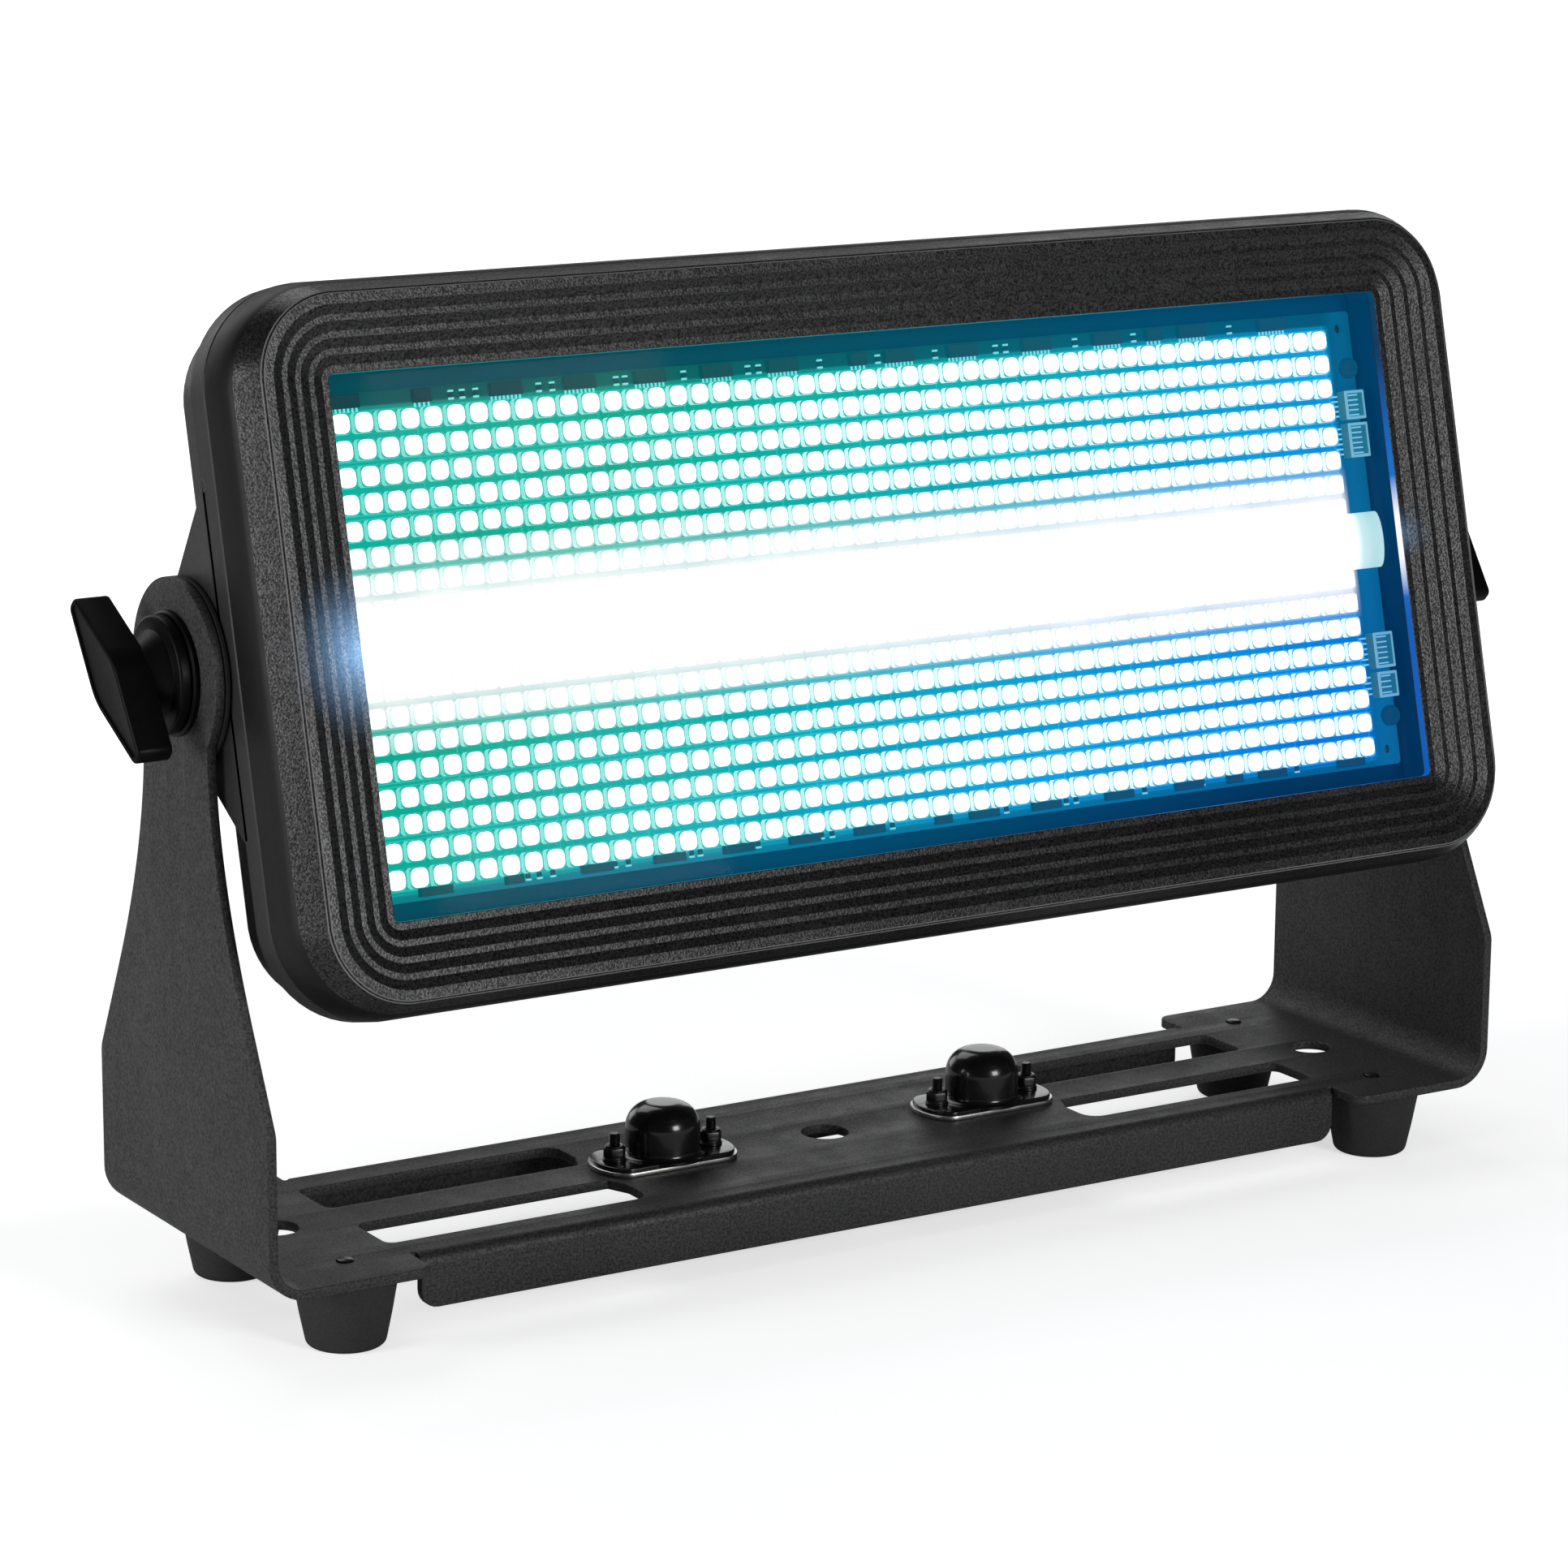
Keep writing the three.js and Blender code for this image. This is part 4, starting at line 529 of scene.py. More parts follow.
def finishPiece(name, bm, looks, body, where, stands=(), bevel=None, smooth=35, weld=0.0005):
    # weld and turn the faces out while the lengths are still millimetres, then set the piece in its place
    if weld:
        bmesh.ops.remove_doubles(bm, verts=bm.verts, dist=weld)
    bmesh.ops.recalc_face_normals(bm, faces=bm.faces)
    bmesh.ops.transform(bm, matrix=where, verts=bm.verts)
    mesh = bpy.data.meshes.new(name)
    bm.to_mesh(mesh)
    bm.free()
    for look in (looks if isinstance(looks, list) else [looks]):
        mesh.materials.append(finishes[look])
    piece = bpy.data.objects.new(name, mesh)
    scene.collection.objects.link(piece)
    mesh.shade_smooth()
    mesh.set_sharp_from_angle(angle=radians(180 if bevel else smooth))
    if bevel:
        width, segments = bevel
        edge = piece.modifiers.new("edges", "BEVEL")
        edge.width = 0.001 * width
        edge.segments = segments
        edge.limit_method = "ANGLE"
        edge.angle_limit = radians(smooth)
        edge.harden_normals = True
        edge.miter_outer = "MITER_ARC"
    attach(piece, body)
    if stands:
        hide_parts(*stands)


def finishOnHead(name, bm, looks, stands=(), **options):
    finishPiece(name, bm, looks, "head", facePlace, stands, **options)


def addInto(bm, other):
    # put one shape's faces beside another's
    mesh = bpy.data.meshes.new("part")
    other.to_mesh(mesh)
    other.free()
    bm.from_mesh(mesh)
    bpy.data.meshes.remove(mesh)
    return bm


def moved(bm, matrix):
    bmesh.ops.transform(bm, matrix=matrix, verts=bm.verts)
    return bm


def copies(shape, places):
    # the same shape set at several places in one mesh
    part = bpy.data.meshes.new("part")
    shape.to_mesh(part)
    shape.free()
    bm = bmesh.new()
    for matrix in places:
        start = len(bm.verts)
        bm.from_mesh(part)
        bm.verts.ensure_lookup_table()
        bmesh.ops.transform(bm, matrix=matrix, verts=bm.verts[start:])
    bpy.data.meshes.remove(part)
    return bm


def turnedShape(profile, steps=48):
    # a profile of (radius, height) turned about Z; points on the axis close the form
    bm = bmesh.new()
    points = [bm.verts.new((radius, 0, height)) for radius, height in profile]
    edges = [bm.edges.new(pair) for pair in zip(points, points[1:])]
    bmesh.ops.spin(bm, geom=points + edges, cent=(0, 0, 0), axis=(0, 0, 1), dvec=(0, 0, 0),
                   angle=2 * pi, steps=steps, use_merge=True, use_duplicate=False)
    bmesh.ops.remove_doubles(bm, verts=bm.verts, dist=0.0005)
    bmesh.ops.recalc_face_normals(bm, faces=bm.faces)
    return bm


def layAlongX(sign, height=0.0):
    # lays a form that was turned about Z along X, pointing to the side that the sign gives
    return Matrix.Translation((0, 0, height)) @ Matrix.Rotation(sign * pi / 2, 4, "Y")


def arcPoints(middleX, middleY, radius, start, end, steps):
    angles = [start + (end - start) * i / steps for i in range(steps + 1)]
    return [(middleX + radius * cos(angle), middleY + radius * sin(angle)) for angle in angles]


def softOutline(corners, steps=8):
    # corners of (x, y, radius) joined by straight lines, each corner rounded
    points = []
    for i, (x, y, radius) in enumerate(corners):
        corner = Vector((x, y))
        before = Vector(corners[i - 1][:2]) - corner
        after = Vector(corners[(i + 1) % len(corners)][:2]) - corner
        if radius <= 0:
            points.append((x, y))
            continue
        before.normalize()
        after.normalize()
        half = before.angle(after) / 2
        centre = corner + (before + after).normalized() * (radius / sin(half))
        first = corner + before * (radius / tan(half)) - centre
        last = corner + after * (radius / tan(half)) - centre
        start = atan2(first.y, first.x)
        sweep = (atan2(last.y, last.x) - start + pi) % (2 * pi) - pi
        points += arcPoints(centre.x, centre.y, radius, start, start + sweep, steps)
    return points


def roundRect(halfWidth, halfHeight, radius):
    return softOutline([(-halfWidth, -halfHeight, radius), (halfWidth, -halfHeight, radius),
                        (halfWidth, halfHeight, radius), (-halfWidth, halfHeight, radius)])


def roundHole(radius, x=0.0, y=0.0, steps=32):
    return arcPoints(x, y, radius, 0, 2 * pi, steps)[:-1]


def plateShape(outline, holes, low, high, edge=0.3, segments=2):
    # a flat plate from its outline and holes, with its edges eased
    flat = bpy.data.curves.new("plate", "CURVE")
    flat.dimensions = "2D"
    flat.fill_mode = "BOTH"
    for points in [outline, *holes]:
        spline = flat.splines.new("POLY")
        spline.points.add(len(points) - 1)
        for knot, (x, y) in zip(spline.points, points):
            knot.co = (x, y, 0, 1)
        spline.use_cyclic_u = True
    flat.extrude = (high - low) / 2 - edge
    flat.bevel_depth = edge
    flat.bevel_resolution = segments - 1
    flat.offset = -edge
    holder = bpy.data.objects.new("plate", flat)
    scene.collection.objects.link(holder)
    shown = holder.evaluated_get(bpy.context.evaluated_depsgraph_get())
    mesh = bpy.data.meshes.new_from_object(shown)
    bm = bmesh.new()
    bm.from_mesh(mesh)
    bpy.data.objects.remove(holder)
    bpy.data.curves.remove(flat)
    bpy.data.meshes.remove(mesh)
    bmesh.ops.remove_doubles(bm, verts=bm.verts, dist=0.001)
    bmesh.ops.translate(bm, verts=bm.verts, vec=(0, 0, (high + low) / 2))
    return bm


def roundRing(bm, halfWidth, halfHeight, radius, perCorner, shelf):
    # a circle whose quarters are pushed apart to the corners of a rounded rectangle
    half = pi / (4 * perCorner)
    ring = bmesh.ops.create_circle(bm, cap_ends=False, radius=radius / cos(half), segments=4 * perCorner,
                                   matrix=Matrix.Rotation(half, 4, "Z"))["verts"]
    for vert in ring:
        vert.co.x += (halfWidth - radius) * (1 if vert.co.x > 0 else -1)
        vert.co.y += (halfHeight - radius) * (1 if vert.co.y > 0 else -1)
        vert.co.z = shelf
    return ring


def bridgeStack(bm, rings, levels, closed, slots=()):
    # the rings stand one above the other while they are bridged, and then go to their own levels
    loops = []
    for ring in rings:
        known = set(ring)
        loops.append([edge for vert in ring for edge in vert.link_edges if edge.other_vert(vert) in known])
    pairs = list(zip(loops, loops[1:]))
    if closed:
        pairs.append((loops[-1], loops[0]))
    for i, (first, second) in enumerate(pairs):
        for face in bmesh.ops.bridge_loops(bm, edges=list(set(first + second)))["faces"]:
            face.material_index = slots[i] if slots else 0
    if not closed:
        for loop in (loops[0], loops[-1]):
            bmesh.ops.contextual_create(bm, geom=list(set(loop)))
    for ring, level in zip(rings, levels):
        for vert in ring:
            vert.co.z = level
    return bm


def sweptFrame(rows, perCorner=12, slots=()):
    # rows of (half width, half height, corner radius, level), bridged one to the next and back to the first
    bm = bmesh.new()
    rings = [roundRing(bm, *row[:3], perCorner, 3 * i) for i, row in enumerate(rows)]
    return bridgeStack(bm, rings, [row[3] for row in rows], True, slots)


def stackedForm(outlines, levels):
    # outlines with the same count of points, bridged upward and capped at both ends
    bm = bmesh.new()
    rings = []
    for i, outline in enumerate(outlines):
        ring = [bm.verts.new((x, y, 3 * i)) for x, y in outline]
        for first, second in zip(ring, ring[1:] + ring[:1]):
            bm.edges.new((first, second))
        rings.append(ring)
    return bridgeStack(bm, rings, levels, False)


def boxShape(width, depth, height, centre):
    bm = bmesh.new()
    bmesh.ops.create_cube(bm, size=1, matrix=Matrix.Translation(centre) @ Matrix.Diagonal((width, depth, height, 1)))
    return bm


def easeEdges(bm, edges, offset, segments):
    bmesh.ops.bevel(bm, geom=edges, offset=offset, segments=segments, profile=0.5, affect="EDGES", material=-1,
                    clamp_overlap=True)


def easedBox(width, depth, height, centre, edge, segments=2):
    bm = boxShape(width, depth, height, centre)
    easeEdges(bm, list(bm.edges), edge, segments)
    return bm


def uprightEdges(bm):
    return [edge for edge in bm.edges if abs(edge.verts[0].co.z - edge.verts[1].co.z) > 0.1]


def drawOut(bm, face, vec):
    grown = bmesh.ops.extrude_face_region(bm, geom=[face])["geom"]
    bmesh.ops.translate(bm, verts=[part for part in grown if isinstance(part, bmesh.types.BMVert)], vec=vec)


# ---- yoke bracket: one blank cut flat, then bent up into the arms and down into the flanges

yokeSizes = {
    "thickness": 2.5, "halfDepth": 46.2, "bendRadius": 10.0, "edge": 0.35,
    "plateHalfDepth": 33.7, "flangeBendRadius": 3.0, "flangeDrop": 13.9, "flangeHalfLength": 137.9, "flangeCorner": 4.7,
    "earInner": 139.5, "earCorner": 4.0, "notchCorner": 0.3,
    # heights above the base and half depths of the arm: kink, end of the straight flare, waist, pivot disc
    "straightRise": 38.6, "kinkCorner": 6.0, "flareRise": 62.2, "flareHalfDepth": 34.6,
    "waistRise": 124.0, "waistHalfDepth": 17.5, "discRadius": 22.8,
    # ends along the base and sides across it, and the step at each slot's inner end
    "slotEnds": (67.0, 140.6), "slotSides": (7.4, 24.6), "slotStep": (2.5, 6.0),
    # radii and places
    "centreHole": 6.2, "sideHole": (5.75, 158.5), "socketHole": (8.2, 49.0), "pivotHole": 4.6,
    "footHole": (2.1, 155.5, 31.0),
}
yokeBends = {
    "underside": place["baseTop"] - yokeSizes["thickness"],
    "armStart": place["armOuter"] - yokeSizes["bendRadius"],
    "armLength": yokeSizes["bendRadius"] * pi / 2,
    "flangeLength": yokeSizes["flangeBendRadius"] * pi / 2,
}


def yokeBlank(s, bends):
    def along(height):
        return bends["armStart"] + bends["armLength"] + height - bends["underside"] - s["bendRadius"]

    flangeEdge = s["plateHalfDepth"] + (bends["flangeLength"] + s["flangeDrop"] - s["flangeBendRadius"])
    base = place["baseTop"]
    # the flare goes on straight from the kink and then curves into the waist
    flareControl = s["flareRise"] + ((s["flareHalfDepth"] - s["waistHalfDepth"]) * (s["flareRise"] - s["straightRise"])
                                     / (s["halfDepth"] - s["flareHalfDepth"]))
    flare = Vector((along(base + s["flareRise"]), s["flareHalfDepth"]))
    control = Vector((along(base + flareControl), s["waistHalfDepth"]))
    waist = Vector((along(base + s["waistRise"]), s["waistHalfDepth"]))
    disc = along(place["pivotHeight"])
    quarter = softOutline([
        (0, 0, 0),
        (0, flangeEdge, 0),
        (s["flangeHalfLength"], flangeEdge, s["flangeCorner"]),
        (s["flangeHalfLength"], s["plateHalfDepth"], s["notchCorner"]),
        (s["earInner"], s["plateHalfDepth"], s["notchCorner"]),
        (s["earInner"], s["halfDepth"], s["earCorner"]),
        (along(base + s["straightRise"]), s["halfDepth"], s["kinkCorner"]),
        (flare.x, flare.y, 0),
        (flare.x, 0, 0),
    ], 6)[1:-1]
    for share in [i / 16 for i in range(1, 17)]:
        point = flare * (1 - share) ** 2 + control * (2 * share * (1 - share)) + waist * share ** 2
        quarter.append((point.x, point.y))
    meet = acos(s["waistHalfDepth"] / s["discRadius"])
    quarter += arcPoints(disc, 0, s["discRadius"], pi / 2 + meet, 0, 40)
    quarter = [point for point in quarter if point[0] > 0.001]
    back = quarter[-2::-1]
    outline = (quarter + [(x, -y) for x, y in back] + [(-x, -y) for x, y in quarter] + [(-x, y) for x, y in back])
    holes = [roundHole(s["centreHole"])]
    for radius, across in (s["sideHole"], s["socketHole"], (s["pivotHole"], disc)):
        holes += [roundHole(radius, across), roundHole(radius, -across)]
    inner, outer = s["slotEnds"]
    near, farther = s["slotSides"]
    stepX, stepY = s["slotStep"]
    slot = softOutline([(inner + stepX, near, 0.6), (outer, near, 2.5), (outer, farther, 2.5),
                        (inner, farther, 4.5), (inner, near + stepY, 0.6)], 5)
    radius, footX, footY = s["footHole"]
    for _, signX in sides:
        for _, signY in ends:
            holes.append([(signX * x, signY * y) for x, y in slot])
            holes.append(roundHole(radius, signX * footX, signY * footY, 20))
    return plateShape(outline, holes, 0, s["thickness"], s["edge"], 3)


def bendYoke(bm, s, bends):
    bendStart, bendLength = bends["armStart"], bends["armLength"]
    flangeStart, flangeBend = s["plateHalfDepth"], bends["flangeLength"]
    for axis, start, length, steps in ((Vector((1, 0, 0)), bendStart, bendLength, 10),
                                       (Vector((0, 1, 0)), flangeStart, flangeBend, 6)):
        for _, sign in sides:
            for step in range(steps + 1):
                bmesh.ops.bisect_plane(bm, geom=bm.verts[:] + bm.edges[:] + bm.faces[:], dist=0.0001,
                                       plane_co=axis * (sign * (start + length * step / steps)), plane_no=axis)
    notch = (s["flangeHalfLength"] + s["earInner"]) / 2
    for vert in bm.verts:
        x, y, rise = vert.co
        side = 1 if x > 0 else -1
        end = 1 if y > 0 else -1
        if abs(x) > bendStart:
            angle = min(abs(x) - bendStart, bendLength) / s["bendRadius"]
            rest = max(abs(x) - bendStart - bendLength, 0)
            radius = s["bendRadius"] - rise
            vert.co = (side * (bendStart + radius * sin(angle)), y,
                       bends["underside"] + s["bendRadius"] - radius * cos(angle) + rest)
        elif abs(x) < notch and abs(y) > flangeStart:
            angle = min(abs(y) - flangeStart, flangeBend) / s["flangeBendRadius"]
            rest = max(abs(y) - flangeStart - flangeBend, 0)
            radius = s["flangeBendRadius"] - s["thickness"] + rise
            vert.co = (x, end * (flangeStart + radius * sin(angle)),
                       place["baseTop"] - s["flangeBendRadius"] + radius * cos(angle) - rest)
        else:
            vert.co = (x, y, bends["underside"] + rise)
    return bm


finishPiece("yokeBracket", bendYoke(yokeBlank(yokeSizes, yokeBends), yokeSizes, yokeBends), "powderCoat", "yoke",
            yokePlace, ["yoke_bracket"], smooth=28)
print("yoke bracket is bent")


# ---- feet and their screws

footSizes = {"height": 18.1, "top": 13.0, "bottom": 9.8, "toe": 1.8, "bore": 5.2, "boreDepth": 9.0, "x": 155.5,
             "y": 31.0}


def footShape(s):
    slope = (s["top"] - s["bottom"]) / s["height"]
    profile = [(s["bore"], 0.4), (s["bore"] + 0.4, 0), (s["bottom"] - s["toe"] - 0.1, 0)]
    profile += arcPoints(s["bottom"] - s["toe"] + 0.1, s["toe"], s["toe"], -pi / 2, -0.17, 6)
    profile += [(s["bottom"] + slope * 8, 8), (s["top"] - 0.15, s["height"] - 0.8), (s["top"] - 0.1, s["height"] - 0.3),
                (s["top"] - 0.5, s["height"]), (2.2, s["height"]), (2.2, s["boreDepth"]), (s["bore"], s["boreDepth"]),
                (s["bore"], 0.4)]
    return turnedShape(profile, 56)


def footScrewShape(s):
    low = s["boreDepth"] - 2.4
    return turnedShape([(0, low + 0.9), (1.2, low + 0.9), (1.3, low), (3.4, low), (4.2, low + 0.5), (4.4, low + 1.2),
                        (4.4, s["boreDepth"]), (1.8, s["boreDepth"]), (1.8, 20.3), (1.9, 20.6), (1.9, 20.9),
                        (1.6, 21.1), (0, 21.1)], 28)


for sideName, signX in sides:
    for endName, signY in ends:
        spot = yokePlace @ Matrix.Translation((signX * footSizes["x"], signY * footSizes["y"], 0))
        finishPiece(f"foot_{endName}_{sideName}_moulded", footShape(footSizes), "padRubber", "yoke", spot,
                    [f"foot_{endName}_{sideName}"], smooth=40)
        finishPiece(f"footScrew_{endName}_{sideName}", footScrewShape(footSizes), "blackSteel", "yoke", spot,
                    [f"foot_screw_{endName}_{sideName}"], smooth=40)
print("feet stand")


# ---- quarter-turn clamp sockets: zinc plate, enamelled dome with its flange, studs with nuts

socketSizes = {
    "x": 49.0, "halfLength": 20.0, "halfWidth": 9.8, "straight": 13.5, "plate": 1.3, "rim": 1.0, "rimInset": 0.7,
    "domeRadius": 9.6, "domeHeight": 14.2, "crown": 6.4, "fillet": 1.5, "wall": 1.2, "mouth": 8.2,
    "studSpacing": 14.2, "studHole": 1.8, "studRadius": 1.5, "studLow": 18.1, "studRise": 9.4,
}


def ovalOutline(s, inset):
    halfLength = s["halfLength"] - s["straight"] - inset
    halfWidth = s["halfWidth"] - inset
    points = []
    for sign, start in ((1, -pi / 2), (-1, pi / 2)):
        for angle in [start + pi * i / 20 for i in range(21)]:
            points.append((sign * s["straight"] + halfLength * cos(angle), halfWidth * sin(angle)))
    return points


def socketDomeShape(s):
    low = place["baseTop"] + s["plate"]
    top = low + s["domeHeight"]
    rimTop = low + s["rim"]
    skirt = s["domeRadius"] + s["fillet"]
    shoulder = s["domeRadius"] - s["crown"]
    inside = s["crown"] - s["wall"]
    profile = [(s["mouth"], low + 0.2), (skirt, low + 0.2), (skirt, rimTop)]
    profile += arcPoints(skirt, rimTop + s["fillet"], s["fillet"], -pi / 2, -pi, 8)[1:]
    profile += arcPoints(shoulder, top - s["crown"], s["crown"], 0, pi / 2, 16)
    profile += [(0, top), (0, top - s["wall"])]
    profile += arcPoints(shoulder, top - s["wall"] - inside, inside, pi / 2, 0, 12)
    profile += [(s["domeRadius"] - s["wall"], low + 0.6), (s["mouth"], low + 0.2)]
    return turnedShape(profile, 64)


def threadedRod(radius, low, high, pitch=0.5):
    profile = [(0, low), (radius - 0.3, low), (radius, low + 0.3)]
    level = low + 0.5
    while level < high - 0.6:
        profile += [(radius, level), (radius - 0.24, level + pitch / 2)]
        level += pitch
    profile += [(radius - 0.05, high - 0.4), (radius - 0.4, high), (0, high)]
    return turnedShape(profile, 20)


def hexNut(across, low, high):
    # six-sided, with all its edges eased
    bm = bmesh.new()
    bmesh.ops.create_cone(bm, cap_ends=True, cap_tris=False, segments=6, radius1=across / 2, radius2=across / 2,
                          depth=high - low, matrix=Matrix.Translation((0, 0, (high + low) / 2)))
    easeEdges(bm, list(bm.edges), 0.28, 2)
    return bm


def socketStudShape(s):
    seat = place["baseTop"] + s["plate"] + s["rim"]
    washer = turnedShape([(1.5, seat), (2.9, seat), (3.0, seat + 0.15), (3.0, seat + 0.5), (2.8, seat + 0.7),
                          (2.75, seat + 1.2), (1.5, seat + 1.2), (1.5, seat)], 28)
    collar = turnedShape([(1.4, seat + 3.3), (2.5, seat + 3.3), (2.6, seat + 3.5), (2.3, seat + 4.0),
                          (1.4, seat + 4.1), (1.4, seat + 3.3)], 28)
    rod = threadedRod(s["studRadius"], s["studLow"], place["baseTop"] + s["studRise"])
    for other in (hexNut(6.0, seat + 1.0, seat + 3.5), collar, rod):
        addInto(washer, other)
    return washer


def clampSocket(s, sideName, sign):
    spot = yokePlace @ Matrix.Translation((sign * s["x"], 0, 0))
    low = place["baseTop"]
    middle = low + s["plate"]
    studHoles = [roundHole(s["studHole"], end * s["studSpacing"], 0, 24) for _, end in ends]
    plate = plateShape(ovalOutline(s, 0), [roundHole(s["mouth"])] + studHoles, low, middle)
    finishPiece(f"socketPlate_{sideName}", plate, "zincPlate", "yoke", spot, [f"clamp_socket_plate_{sideName}"])
    rim = plateShape(ovalOutline(s, s["rimInset"]), [roundHole(s["mouth"] + 0.2)] + studHoles, middle,
                     middle + s["rim"], 0.35, 3)
    finishPiece(f"socketDome_{sideName}", addInto(rim, socketDomeShape(s)), "domeEnamel", "yoke", spot,
                [f"clamp_socket_dome_{sideName}"], smooth=40)
    for end, letter in ((-1, "a"), (1, "b")):
        stud = spot @ Matrix.Translation((end * s["studSpacing"], 0, 0)) @ Matrix.Rotation(0.3, 4, "Z")
        finishPiece(f"socketStud_{sideName}_{letter}", socketStudShape(s), "blackSteel", "yoke", stud,
                    [f"clamp_socket_stud_{sideName}_{letter}"], smooth=30)


for sideName, sign in sides:
    clampSocket(socketSizes, sideName, sign)
print("clamp sockets are fixed")


# ---- friction spacers, washers and clamp knobs: drawn with their axis along Z, then laid along X

knobSizes = {
    "skirt": 14.2, "skirtDepth": 2.8, "neckBase": 10.5, "neckTip": 7.5, "neckLength": 5.0,
    "wingDepth": 9.0, "wingLength": 47.0, "wingMiddle": 16.4, "wingEnd": 4.2, "wingSink": 0.8, "wingAngle": 48.0,
    "wingEndRadius": 1.9, "wingMiddleRadius": 16.0,
    "washerRadius": 15.0, "washer": 1.6, "bore": 4.6, "bolt": 3.9, "boltPitch": 1.25, "spacerRadius": 22.8,
    # (inset, height from the back, height from the front): rounded back edge, side, rounded front edge, rim, groove,
    # inner rim and sunk field
    "wingRows": ((0.7, 0, None), (0.25, 0.12, None), (0.0, 0.6, None), (0.0, None, -0.75), (0.12, None, -0.35),
                 (0.35, None, -0.1), (0.6, None, 0), (0.85, None, 0), (0.9, None, -0.3), (1.1, None, -0.32),
                 (1.15, None, -0.05), (1.35, None, -0.05), (1.45, None, -0.5), (1.55, None, -0.52)),
}


def wingOutline(s, inset):
    # the wing seen from its axis: wide in the middle, tapered to round ends
    half, end, middle = (s[size] / 2 for size in ("wingLength", "wingEnd", "wingMiddle"))
    slope = (middle - end) / half
    slant = sqrt(1 + slope ** 2)
    endInset = end - inset * (slant - slope)
    middleInset = middle - inset * slant
    reach = half - inset
    endRadius = s["wingEndRadius"] - inset
    middleRadius = s["wingMiddleRadius"] - inset
    return softOutline([(reach, -endInset, endRadius), (reach, endInset, endRadius), (0, middleInset, middleRadius),
                        (-reach, endInset, endRadius), (-reach, -endInset, endRadius),
                        (0, -middleInset, middleRadius)], 9)


def knobShape(s, sign):
    skirtFace = place["armOuter"] + s["washer"] + 0.3
    neckFace = skirtFace + s["skirtDepth"]
    wingFace = neckFace + s["neckLength"]
    body = [(0, neckFace - 1), (4.2, neckFace - 1), (4.2, skirtFace), (s["skirt"] - 0.3, skirtFace),
            (s["skirt"], skirtFace + 0.3), (s["skirt"], neckFace - 0.9)]
    body += arcPoints(s["skirt"] - 0.8, neckFace - 0.8, 0.8, 0, pi / 2, 5)[1:]
    body += [(s["neckBase"] + 1.2, neckFace), (s["neckBase"] + 0.3, neckFace + 0.3), (s["neckBase"], neckFace + 0.9),
             (s["neckTip"] + 0.4, wingFace - 0.6), (s["neckTip"], wingFace + 0.4), (s["neckTip"], wingFace + 4),
             (0, wingFace + 4)]
    shape = turnedShape(body, 64)
    back = wingFace - s["wingSink"]
    front = back + s["wingDepth"]
    levels = [front + fromFront if fromBack is None else back + fromBack for _, fromBack, fromFront in s["wingRows"]]
    wing = stackedForm([wingOutline(s, inset) for inset, _, _ in s["wingRows"]], levels)
    return addInto(shape, moved(wing, Matrix.Rotation(radians(-sign * s["wingAngle"]), 4, "Z")))


def pivotParts(s, sideName, sign):
    lay = yokePlace @ layAlongX(sign, place["pivotHeight"])
    inner = place["headSide"] + 0.3
    outer = place["armOuter"] - yokeSizes["thickness"] - 0.3
    low = place["armOuter"]
    high = low + s["washer"]
    wide = s["spacerRadius"]
    spacer = turnedShape([(s["bore"], inner), (wide - 0.5, inner), (wide, inner + 0.25), (wide, outer - 0.25),
                          (wide - 0.3, outer), (s["bore"], outer), (s["bore"], inner)], 72)
    finishPiece(f"frictionSpacer_{sideName}", spacer, "padRubber", "yoke", lay, [f"friction_spacer_{sideName}"])
    wide = s["washerRadius"]
    washer = turnedShape([(s["bore"], low), (wide - 0.2, low), (wide, low + 0.2), (wide, high - 0.5),
                          (wide - 0.5, high), (s["bore"], high), (s["bore"], low)], 64)
    finishPiece(f"knobWasher_{sideName}", washer, "knobPlastic", "yoke", lay, [f"knob_washer_{sideName}"])
    finishPiece(f"clampKnob_{sideName}", knobShape(s, sign), "knobPlastic", f"knob_{sideName}", lay,
                [f"clamp_knob_{sideName}"], smooth=32)
    stud = threadedRod(s["bolt"], place["headSide"] - 10, low + 4.4, s["boltPitch"])
    finishPiece(f"clampBolt_{sideName}", stud, "blackSteel", f"knob_{sideName}", lay, [f"clamp_stud_{sideName}"])


for sideName, sign in sides:
    pivotParts(knobSizes, sideName, sign)
print("knobs are on")


# ---- front bezel: even steps climb from the window to the rim, then the side runs back to the seam

bezelSizes = {
    "window": (153.1, 63.95), "windowCorner": 1.5, "lipFront": 10.25, "lipThickness": 2.5, "innerFlat": 1.9,
    "wallRun": 2.35, "rise": 1.0, "flat": 1.5, "ridges": 4, "rimFlat": 2.7,
    "crease": (1.6, 7.8), "seam": 3.45, "seamCorner": 26.0, "wall": 3.0, "shelf": 5.0,
}


def seamRow(setIn, level, radius=None):
    # a row on the head's side: how far it is set in, its level, and its corner where it doesn't follow the seam's
    corner = bezelSizes["seamCorner"] - setIn if radius is None else radius
    return place["headSide"] - setIn, place["headHalfHeight"] - setIn, corner, level


